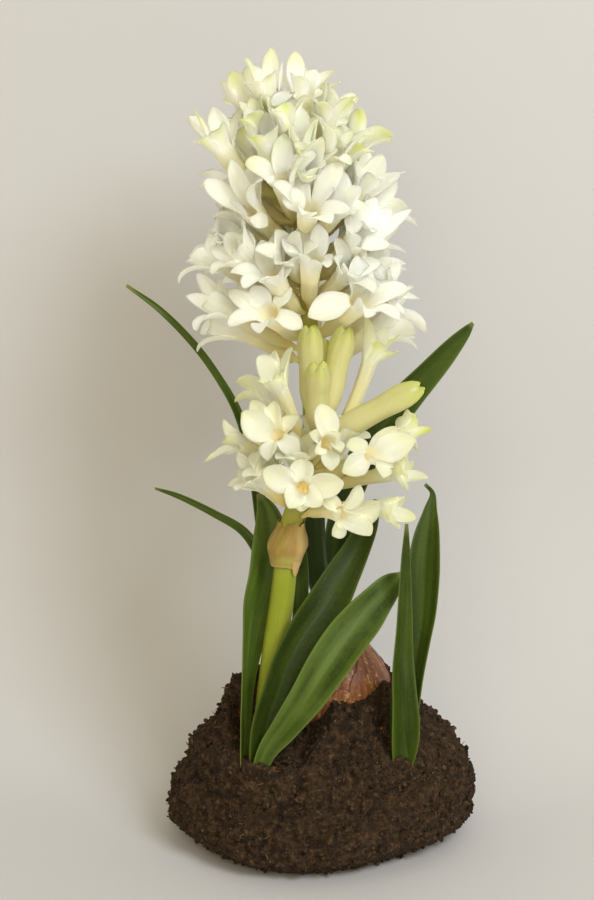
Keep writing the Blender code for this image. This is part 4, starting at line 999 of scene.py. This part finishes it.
class Floret:
    """One bell: pedicel, swollen tube and six broad lobes in two whorls."""

    def __init__(self, stalk, row, number, key):
        foot_z, azimuth, reach, rise, final, lobe, wish = row
        self.rng = np.random.default_rng(1000 + number)
        self.number, self.key = number, key
        self.cols, self.rows = (6, 9) if key.startswith("inner") else (LOBE_COLS, LOBE_ROWS)
        self.tips = REACH.get(key, ())
        self.gold = THROAT.get(key, 0.32)
        self.wide = WIDE[key.split("_")[0]]
        self.length = lobe * 1.16
        self.wish = wish
        axis, r = at_height(stalk, foot_z)
        az, fin = math.radians(azimuth), math.radians(final)
        out = Vector((math.cos(az), math.sin(az), 0))
        up = Vector((0, 0, 1))
        head = (out * math.cos(fin) + up * math.sin(fin)).normalized()
        mouth = at_height(stalk, foot_z + rise)[0] + out * reach
        mouth.z = foot_z + rise
        length = (mouth - axis).length
        bend = mouth - head * (0.52 * length)
        lean = bend - axis
        lean = out * max(lean.dot(out), 0.8 * lean.z) + up * lean.z
        lean.normalize()
        foot = axis + out * (r + 0.55 + 0.9 * abs(lean.z))
        first = out.cross(up).normalized()
        side = (first - head * first.dot(head)).normalized()
        top = head.cross(side)
        self.foot, self.bend, self.mouth = (np.array(v) for v in (foot, bend, mouth))
        self.head = np.array(head)
        spin, given = self.share_out(np.array(side), np.array(top))
        self.side = np.array(side) * math.cos(spin) + np.array(top) * math.sin(spin)
        self.up = np.cross(self.head, self.side)
        self.lobes = [self.lobe_form(k, given.get(k)) for k in range(6)]

    def share_out(self, side, top):
        """Turns the rim and hands every measured lobe the sixth of it that it leans to."""
        if not self.tips:
            return math.radians(self.rng.uniform(-30, 30)), {}
        want = []
        for r, u, f, _, _ in self.tips:
            d = RIGHT * r + RISE * u + FRONT * f
            want.append(math.atan2(d @ top, d @ side))
        best = None
        for step in range(12):
            spin = math.radians(5 * step)
            gap = [[((w - spin - (k + 0.5) * math.pi / 3 + math.pi) % (2 * math.pi) - math.pi) ** 2
                    for k in range(6)] for w in want]
            for order in itertools.permutations(range(6), len(want)):
                cost = sum(gap[i][k] for i, k in enumerate(order))
                if best is None or cost < best[0]:
                    best = (cost, spin, order)
        return best[1], {k: self.tips[i] for i, k in enumerate(best[2])}

    def lobe_form(self, k, tip):
        """Opening, length, half width, cup, yaw, twist and tip curl of lobe k."""
        r = self.rng
        form = dict(open=self.wish + r.uniform(-14, 12), long=self.length * r.uniform(0.98, 1.20),
                    half=r.uniform(3.5, 4.6), cup=r.uniform(0.30, 0.60), yaw=r.uniform(-9, 9),
                    twist=r.uniform(-18, 18), curl=r.uniform(0.1, 1.0), point=r.uniform(0.62, 0.90),
                    green=0.0)
        if self.tips:
            form["open"] -= 10
            form["long"] *= 0.90
        if self.key[0] == "s":
            form["cup"] += 0.30
            if self.tips:
                form["long"] *= 0.62
                form["open"] -= 8
        if self.mouth[2] > 262:
            form["green"] = r.uniform(0.2, 0.8)
        if tip:
            form.update(tip=RIGHT * tip[0] + RISE * tip[1] + FRONT * (tip[2] + (2.0 if self.key[0] == "s" else 0)), half=tip[3] * r.uniform(0.98, 1.08),
                        green=tip[4], curl=r.uniform(0.1, 0.7), twist=r.uniform(-10, 10))
        if self.key[0] == "s":
            form["green"] = max(form["green"], r.uniform(0.20, 0.60))
        else:
            form["green"] = max(form["green"], r.uniform(0.0, 0.16))
        return form

    def radius(self, t):
        return self.wide * float(np.interp(t, [q[0] for q in TUBE_R], [q[1] for q in TUBE_R]))

    def point(self, t):
        return self.foot * (1 - t) ** 2 + self.bend * (2 * t * (1 - t)) + self.mouth * t * t

    def heading(self, t):
        return unit((self.bend - self.foot) * (1 - t) + (self.mouth - self.bend) * t)

    def ring(self, t, r, count):
        head = self.heading(t)
        side = unit(self.side - head * self.side.dot(head))
        up = np.cross(head, side)
        a = 2 * math.pi * np.arange(count) / count
        # faint ribs below the lobes
        rib = 1 + 0.045 * np.cos(6 * a) * (0.3 < t < 0.97)
        return (self.point(t) + (side[None] * np.cos(a)[:, None] + up[None] * np.sin(a)[:, None])
                * (r * rib)[:, None])

    def lobe_line(self, form, out, across, v):
        """Middle line of a lobe, its directions and the way across it, for each share v."""
        start = self.mouth + out * self.radius(1.0)
        if "tip" not in form:
            lo, hi = math.radians(form["open"] * 0.15), math.radians(form["open"] * 1.62)
            theta = lo + (hi - lo) * v ** 1.35 + math.radians(22) * form["curl"] * np.clip(v - 0.6, 0, 1) ** 1.3 / 0.3
            seg = np.diff(v)
            mid = 0.5 * (theta[1:] + theta[:-1])
            run = np.concatenate([[0], np.cumsum(seg * np.cos(mid))]) * form["long"]
            rad = np.concatenate([[0], np.cumsum(seg * np.sin(mid))]) * form["long"]
            line = start + self.head * run[:, None] + out * rad[:, None] \
                + across * (math.tan(math.radians(form["yaw"])) * v[:, None] ** 1.3 * form["long"])
            tang = self.head * np.cos(theta)[:, None] + out * np.sin(theta)[:, None]
            return line, tang, np.repeat(across[None], len(v), 0)
        tip = self.mouth + form["tip"]
        span = tip - start
        size = float(np.linalg.norm(span))
        a = start + unit(self.head * 0.85 + out * 0.15) * size * (0.50 if self.key[0] == "s" else 0.38)
        b = tip - unit(span + out * size * 0.5 * form["curl"]) * size * 0.34
        t = np.linspace(0, 1, 41)[:, None]
        fine = start * (1 - t) ** 3 + a * 3 * t * (1 - t) ** 2 + b * 3 * t * t * (1 - t) + tip * t ** 3
        gone = np.concatenate([[0], np.cumsum(np.linalg.norm(np.diff(fine, axis=0), axis=1))])
        line = np.stack([np.interp(v * gone[-1], gone, fine[:, j]) for j in range(3)], 1)
        tang = unit(np.gradient(fine, axis=0))
        tang = unit(np.stack([np.interp(v * gone[-1], gone, tang[:, j]) for j in range(3)], 1))
        flat = span - self.head * (span @ self.head)
        turn = np.cross(self.head, unit(flat)) if np.linalg.norm(flat) > 0.25 * size else across
        w = smooth01(v / 0.45)[:, None]
        way = across * (1 - w) + turn * w
        way = unit(way - tang * (way * tang).sum(1)[:, None])
        return line, tang, way

    def lobe_sheet(self, k, form, cols, rows):
        """Outer surface of lobe k as rows x cols points, first row on the mouth."""
        a = math.pi / 3 * (k + 0.5)
        out = self.side * math.cos(a) + self.up * math.sin(a)
        across = np.cross(self.head, out)
        r0 = self.radius(1.0)
        v = 1 - (1 - np.linspace(0, 1, rows + 1)) ** 1.25
        line, tang, way = self.lobe_line(form, out, across, v)
        inward = np.cross(tang, way)
        whorl = (0.75 if k % 2 else -0.45) * smooth01(v / 0.3)[:, None]
        line = line - inward * whorl
        base = r0 * math.sin(math.pi / 6)
        half = form["half"]
        wide = np.where(v < 0.52, base + (half - base) * smooth01(v / 0.52),
                        half * np.clip(1 - np.clip((v - 0.52) / 0.49, 0, 1) ** 2.3, 0, 1) ** form["point"])
        wide = np.maximum(wide, 0.28)
        u = np.linspace(-1, 1, cols + 1)
        twist = np.radians(form["twist"]) * v ** 1.2
        cross = way * np.cos(twist)[:, None] + inward * np.sin(twist)[:, None]
        inn = inward * np.cos(twist)[:, None] - way * np.sin(twist)[:, None]
        cup = form["cup"] * (1 - 0.45 * v)
        ruffle = 0.45 * np.sin(6 * v + 2.0 * k + self.number)[:, None] * np.abs(u)[None] ** 3 * np.sign(u)[None] * v[:, None]
        groove = 0.30 * np.exp(-(u / 0.20) ** 2)[None] * np.sin(np.pi * v)[:, None]
        sheet = (line[:, None] + cross[:, None] * (wide[:, None] * u[None])[..., None]
                 + inn[:, None] * (cup[:, None] * wide[:, None] * u[None] ** 2 + ruffle - groove)[..., None])
        # starts as the mouth's own round rim
        phi = a + u * math.pi / 6
        rim = self.mouth + (self.side[None] * np.cos(phi)[:, None] + self.up[None] * np.sin(phi)[:, None]) * r0
        gone = line - line[0]
        ahead, off, sideways = (gone @ d for d in (self.head, out, across))
        arc = (rim[None] + self.head * ahead[:, None, None] + (rim - self.mouth)[None] / r0 * off[:, None, None]
               + across * sideways[:, None, None])
        w = smooth01(v / 0.24)[:, None, None]
        return arc * (1 - w) + sheet * w, v

    def add_to(self, piece):
        cols, rows = self.cols, self.rows
        n = 6 * cols
        gold = self.gold
        fresh = float(smooth01((self.mouth[2] - 240) / 50))          # greener towards the top of a head
        outer_rings = [self.ring(t, self.radius(t), n) for t in TUBE_T]
        mouth_row = len(TUBE_T) - 1
        lobes = [self.lobe_sheet(k, self.lobes[k], cols, rows) for k in range(6)]
        outer_rings[-1] = np.vstack([lobes[k][0][0][:-1] for k in range(6)])
        uv, tint = [], []
        for t in TUBE_T:
            for k in range(n):
                uv.append((k / n, 0.5 * t))
                # second mask: a little painted warm glow low on the tube
                tint.append((0.42 * fresh * (1 - 0.6 * t), 0.12 * (1 - t), 0))
        a = piece.points(np.vstack(outer_rings), uv, tint)
        piece.grid(a, len(TUBE_T), n, closed=True)
        piece.faces.append(tuple(range(a, a + n))[::-1])
        # inner skin of the throat
        throat_t = (1.0, 0.96, 0.91, 0.85, 0.79, 0.74)
        inner_rings = []
        for t in throat_t:
            inner_rings.append(self.ring(t, self.radius(t) - 0.5, n))
        inner_rings[0] = outer_rings[-1] + unit(self.mouth - outer_rings[-1]) * 0.40
        uv, tint = [], []
        for t in throat_t:
            for k in range(n):
                uv.append((k / n, 0.5 * t))
                # painted warm glow: gold deepening down into the throat
                tint.append((0, gold * (0.95 - 0.45 * (t - 0.74) / 0.26), 0))
        b = piece.points(np.vstack(inner_rings), uv, tint)
        for j in range(len(throat_t) - 1):
            for k in range(n):
                k2 = (k + 1) % n
                piece.faces.append((b + j * n + k, b + j * n + k2, b + (j + 1) * n + k2, b + (j + 1) * n + k))
        piece.faces.append(tuple(b + (len(throat_t) - 1) * n + k for k in range(n)))
        # lobes: outer and inner skin, joined round their edge
        for k in range(6):
            sheet, v = lobes[k]
            u = np.linspace(-1, 1, cols + 1)
            nrm = grid_normals(sheet)
            toward = self.head * 1.0 - (self.side * math.cos(math.pi / 3 * (k + 0.5)) + self.up * math.sin(math.pi / 3 * (k + 0.5)))
            flip = np.sign((nrm * toward).sum(-1))
            # one sign for the whole lobe keeps the shell whole where it curls over
            s = 1.0 if flip[: rows // 3].mean() > 0 else -1.0
            nrm = nrm * s
            thick = (0.50 * (1 - 0.55 * np.abs(u)[None] ** 2) * (1 - 0.45 * v[:, None]) + 0.06)
            inner = sheet + nrm * thick[..., None]
            tip_green = self.lobes[k]["green"]
            uvs, tin_o, tin_i = [], [], []
            for i in range(1, rows + 1):
                for c in range(cols + 1):
                    uvs.append(((k + c / cols) / 6, 0.5 + 0.5 * v[i]))
                    g = tip_green * float(smooth01((v[i] - 0.35) / 0.6))
                    keel = 0.55 * tip_green * math.exp(-(u[c] / 0.40) ** 2) * float(smooth01(v[i] / 0.4))
                    tin_o.append((min(1, 0.8 * g + keel), 0, 0))
                    # second inner mask: the throat's painted gold glow running onto the lobe's foot
                    tin_i.append((0.45 * g, gold * 0.45 * float(smooth01((0.22 - v[i]) / 0.22)), 0))
            oo = piece.points(sheet[1:], uvs, tin_o)
            ii = piece.points(inner[1:], uvs, tin_i)

            def at(face, i, c):
                if i == 0:
                    ring_index = (k * cols + c) % n
                    return (a + mouth_row * n + ring_index) if face == 0 else (b + ring_index)
                return (oo if face == 0 else ii) + (i - 1) * (cols + 1) + c
            for i in range(rows):
                for c in range(cols):
                    piece.faces.append((at(0, i, c), at(0, i, c + 1), at(0, i + 1, c + 1), at(0, i + 1, c)))
                    piece.faces.append((at(1, i, c), at(1, i + 1, c), at(1, i + 1, c + 1), at(1, i, c + 1)))
                for c in (0, cols):
                    piece.faces.append((at(0, i, c), at(1, i, c), at(1, i + 1, c), at(0, i + 1, c)))
            for c in range(cols):
                piece.faces.append((at(0, rows, c), at(1, rows, c), at(1, rows, c + 1), at(0, rows, c + 1)))
        self.stamens(piece)

    def build(self, name, node):
        piece = Piece()
        self.add_to(piece)
        return piece.build(name, PETAL_YOUNG if self.key[0] == "s" else PETAL, "petal", (node,))

    def stamens(self, piece):
        """Six anthers and a short style, deep in the throat."""
        for k in range(7):
            if k < 6:
                a = math.pi / 3 * k + 0.4
                c0 = self.point(0.72) + (self.side * math.cos(a) + self.up * math.sin(a)) * 2.6 * self.wide
                d = unit(self.head + (self.side * math.cos(a) + self.up * math.sin(a)) * 0.10)
                length, r, t = 2.2, 0.34, 0.25 + 0.65 * self.gold
            else:
                c0, d, length, r, t = self.point(0.71), self.head, 2.4, 0.4, 0.3 * self.gold
            s1 = unit(np.cross(d, self.up + 0.13))
            s2 = np.cross(d, s1)
            rings = []
            prof = ((0.0, 0.25), (0.18, 0.85), (0.5, 1.0), (0.82, 0.8), (1.0, 0.25))
            for f, w in prof:
                rings.append([c0 + d * length * f + (s1 * math.cos(b) + s2 * math.sin(b)) * r * w
                              for b in (math.pi / 3 * i for i in range(6))])
            # the stamens take half of the throat's painted gold glow
            st = piece.points(np.array(rings), [(0.5, 0.45)] * 30, (0, 0.5 * self.gold, t * 0.7))
            piece.grid(st, 5, 6, closed=True)
            piece.faces.append(tuple(range(st, st + 6))[::-1])
            piece.faces.append(tuple(range(st + 24, st + 30)))


def sheet_tree(sheet):
    rows, cols, _ = sheet.shape
    faces = [(i * cols + k, i * cols + k + 1, (i + 1) * cols + k + 1, (i + 1) * cols + k)
             for i in range(rows - 1) for k in range(cols - 1)]
    return BVHTree.FromPolygons([Vector(p) for p in sheet.reshape(-1, 3)], faces)


def settle(heads, fixed):
    """Chooses for every free lobe the form nearest its wish that meets the fewest neighbours."""
    tubes = []
    for f in heads:
        rings = np.array([f.ring(t, f.radius(t), 8) for t in TUBE_T[1:-1:2]])
        tubes.append(sheet_tree(np.concatenate([rings, rings[:, :1]], 1)))
    mouths = np.array([f.mouth for f in heads])
    placed = [[sheet_tree(f.lobe_sheet(k, f.lobes[k], 4, 6)[0][1:]) for k in range(6) if "tip" in f.lobes[k]]
              for f in heads]
    for i, f in enumerate(heads):
        near = [j for j in range(len(heads)) if j != i and np.linalg.norm(mouths[j] - mouths[i]) < 46]
        for k in range(6):
            if "tip" in f.lobes[k]:
                continue
            best = None
            for dopen, dyaw in ((0, 0), (-7, 0), (7, 0), (0, 10), (0, -10), (-14, 0), (-7, 12), (-7, -12), (-21, 0),
                                (-28, 0), (14, 0), (-35, 0)):
                form = dict(f.lobes[k])
                form["open"] = max(form["open"] + dopen, 4)
                form["yaw"] += dyaw
                t = sheet_tree(f.lobe_sheet(k, form, 4, 6)[0][1:])
                hits = sum(len(t.overlap(o)) for o in fixed)
                hits += sum(len(t.overlap(tubes[j])) for j in near)
                hits += sum(len(t.overlap(o)) for j in near for o in placed[j])
                cost = hits * 3 + abs(dopen) * 0.05 + abs(dyaw) * 0.08
                if best is None or cost < best[0]:
                    best = (cost, form, t)
                if hits == 0:
                    break
            f.lobes[k] = best[1]
            placed[i].append(best[2])


def bud_rings(foot, tip, radius, count=40, sides=36):
    foot, tip = np.array(foot, float), np.array(tip, float)
    head = unit(tip - foot)
    side = unit(np.cross(head, np.array([0.3, 1, 0.2])))
    up = np.cross(head, side)
    length = np.linalg.norm(tip - foot)
    prof = ((0.0, 0.34), (0.10, 0.46), (0.22, 0.80), (0.36, 0.98), (0.50, 0.95), (0.62, 0.92), (0.76, 1.0),
            (0.86, 0.97), (0.94, 0.78), (0.985, 0.52), (1.0, 0.36))
    prof = along(prof, 120)
    rings = np.zeros((count + 1, sides, 3))
    for i in range(count + 1):
        t = (i / count)
        t = 1 - (1 - t) ** 1.25
        w = float(np.interp(t, prof[:, 0], prof[:, 1])) * radius
        bend = math.sin(math.pi * t) * 0.04 * length
        for k in range(sides):
            a = 2 * math.pi * k / sides
            # six closed lobes: ribs that deepen towards the tip
            deep = 0.03 + 0.16 * float(smooth01((t - 0.55) / 0.45))
            r = w * (1 + deep * (math.cos(3 * a) * 0.7 + 0.3 * math.cos(6 * a)))
            lift = 0.9 * float(smooth01((t - 0.9) / 0.1)) * math.cos(3 * a)
            rings[i, k] = foot + head * (length * t + lift) + side * bend * 0.3 \
                + (side * math.cos(a) + up * math.sin(a)) * r
    return rings, head


bud_trees = []
piece = Piece()
for number, (foot, tip, radius) in enumerate(BUDS):
    rings, head = bud_rings(foot, tip, radius)
    count, sides = rings.shape[0], rings.shape[1]
    tints = []
    for i in range(count):
        f = i / (count - 1)
        for k in range(sides):
            # third mask: painted highlight on the lobe edges near the tip
            tints.append((0.75 * float(smooth01((f - 0.62) / 0.38)), 0.7 * float(smooth01((0.55 - f) / 0.5)),
                          0.55 * float(smooth01((f - 0.84) / 0.12)) * float(smooth01((-0.72 - math.cos(6 * math.pi * k / sides)) / 0.28))))
    start = piece.points(rings, [(k / sides + number, i / count) for i in range(count) for k in range(sides)], tints)
    piece.grid(start, count, sides, closed=True)
    piece.faces.append(tuple(range(start, start + sides))[::-1])
    # the tip closes over a shallow hollow between the lobes
    c = rings[-1].mean(0) - head * 1.2
    mid = piece.points([c], [(0.5 + number, 1)], [(0.9, 0, 0)])
    for k in range(sides):
        piece.faces.append((start + (count - 1) * sides + k, start + (count - 1) * sides + (k + 1) % sides, mid))
    coarse = np.concatenate([rings[::4], rings[::4, :1]], 1)[:, ::4]
    bud_trees.append(sheet_tree(coarse))
piece.build("closed_buds", BUD, "bud", ("short_head_buds",))

fixed = list(bud_trees)
for rows in (TALL_STALK, SHORT_STALK):
    r = stem_rings(rows, 10, 24)
    fixed.append(sheet_tree(np.concatenate([r, r[:, :1]], 1)))
short_heads = [Floret(SHORT_STALK, row, 50 + i, "short_%02d" % (i + 1)) for i, row in enumerate(SHORT_FLORETS)]
tall_heads = [Floret(TALL_STALK, row, i, "tall_%02d" % (i + 1)) for i, row in enumerate(TALL_FLORETS)]


def inner_bells(stalk, heads, number, low, high, count, reach, lobe):
    """Small half-grown bells that close the head between the full ones."""
    taken = [np.array([f.point(t) for t in (0.2, 0.4, 0.6, 0.8, 1.0)]) for f in heads]
    out = []
    for i in range(count):
        z = low + (high - low) * (i + 0.5) / count
        best = None
        for j in range(24):
            az = 137.5 * i + 15.0 * j
            f = Floret(stalk, (z, az, reach * (1 - 0.35 * (z - low) / (high - low)), 9, 38 + 30 * (z - low) / (high - low),
                               lobe, 40), number + i, "inner_%02d" % i)
            mine = np.array([f.point(t) for t in (0.4, 0.7, 1.0)] + [f.mouth + f.head * 6])
            room = min(float(np.linalg.norm(mine[:, None] - t[None], axis=2).min()) for t in taken)
            room -= 0.02 * j
            if best is None or room > best[0]:
                best = (room, f)
        out.append(best[1])
        taken.append(np.array([best[1].point(t) for t in (0.4, 0.7, 1.0)]))
    return out


tall_inner = inner_bells(TALL_STALK, tall_heads, 200, 210, 276, 32, 22.5, 12.0)
short_inner = inner_bells(SHORT_STALK, short_heads, 240, 143, 160, 7, 15, 9.5)
settle(short_heads + tall_heads + tall_inner + short_inner, fixed)
for name, group in (("tall_inner_bells", tall_inner), ("short_inner_bells", short_inner)):
    piece = Piece()
    for f in group:
        f.add_to(piece)
    piece.build(name, PETAL_YOUNG if name[0] == "s" else PETAL, "petal")
for prefix, node, heads in (("short_bell_", "short_floret_", short_heads), ("tall_bell_", "tall_floret_", tall_heads)):
    for i, f in enumerate(heads):
        f.build("%s%02d" % (prefix, i + 1), "%s%02d" % (node, i + 1))


# ====================================================================== stage
def stage_material(name, colour, seen_from_behind=True):
    m = Nodes(name)
    m.set(Base_Color=colour, Roughness=0.9, Specular_IOR_Level=0.1)
    return m


def sweep():
    """Pale paper: flat under the plant, curving up behind it."""
    rows = [(-1.6, 0.0)]
    rows += [(-1.6 + 1.62 * i / 8, 0.0) for i in range(1, 9)]
    r, y0 = 0.12, 0.02
    rows += [(y0 + r * math.sin(a), r - r * math.cos(a)) for a in np.linspace(0.12, math.pi / 2, 14)]
    rows += [(y0 + r, z) for z in np.linspace(0.16, 1.6, 12)]
    verts, faces = [], []
    for x in (-1.6, 1.6):
        verts += [(x, y, z) for y, z in rows]
    n = len(rows)
    faces = [(i, n + i, n + i + 1, i + 1) for i in range(n - 1)]
    mesh = bpy.data.meshes.new("paper_sweep")
    mesh.from_pydata(verts, [], faces)
    mesh.shade_smooth()
    m = stage_material("paper", rgb(226, 224, 221))
    mesh.materials.append(m.mat)
    obj = bpy.data.objects.new("paper_sweep", mesh)
    bpy.context.scene.collection.objects.link(obj)
    return obj, m


paper, paper_nodes = sweep()
# the paper shows only its front, so the plant can be looked at from behind it too
n = paper_nodes
geo = n.add("ShaderNodeNewGeometry")
clear = n.add("ShaderNodeBsdfTransparent")
both = n.add("ShaderNodeMixShader")
n.link(geo.outputs["Backfacing"], both.inputs[0])
n.link(n.shader.outputs[0], both.inputs[1])
n.link(clear.outputs[0], both.inputs[2])
n.link(both.outputs[0], n.out.inputs["Surface"])

world = bpy.data.worlds.new("room")
bpy.context.scene.world = world
world.use_nodes = True
back = world.node_tree.nodes["Background"]
back.inputs[0].default_value = (1.0, 0.89, 0.67, 1)
back.inputs[1].default_value = 0.38


def softbox(name, azimuth, elevation, distance, size, power, colour, target=(0, 0, 0.15)):
    data = bpy.data.lights.new(name, 'AREA')
    data.shape = 'DISK'
    data.size = size
    data.energy = power
    data.color = colour
    a, e = math.radians(azimuth), math.radians(elevation)
    back = Vector((math.sin(a) * math.cos(e), -math.cos(a) * math.cos(e), math.sin(e)))
    obj = bpy.data.objects.new(name, data)
    obj.location = Vector(target) + back * distance
    obj.rotation_mode = 'QUATERNION'
    obj.rotation_quaternion = (-back).to_track_quat('-Z', 'Y')
    bpy.context.scene.collection.objects.link(obj)
    return obj


softbox("key_softbox", 30, 36, 1.5, 0.60, 11.2, (0.80, 0.87, 0.98))
softbox("window_fill", -4, 24, 1.9, 1.1, 7.6, (1.0, 0.89, 0.68))
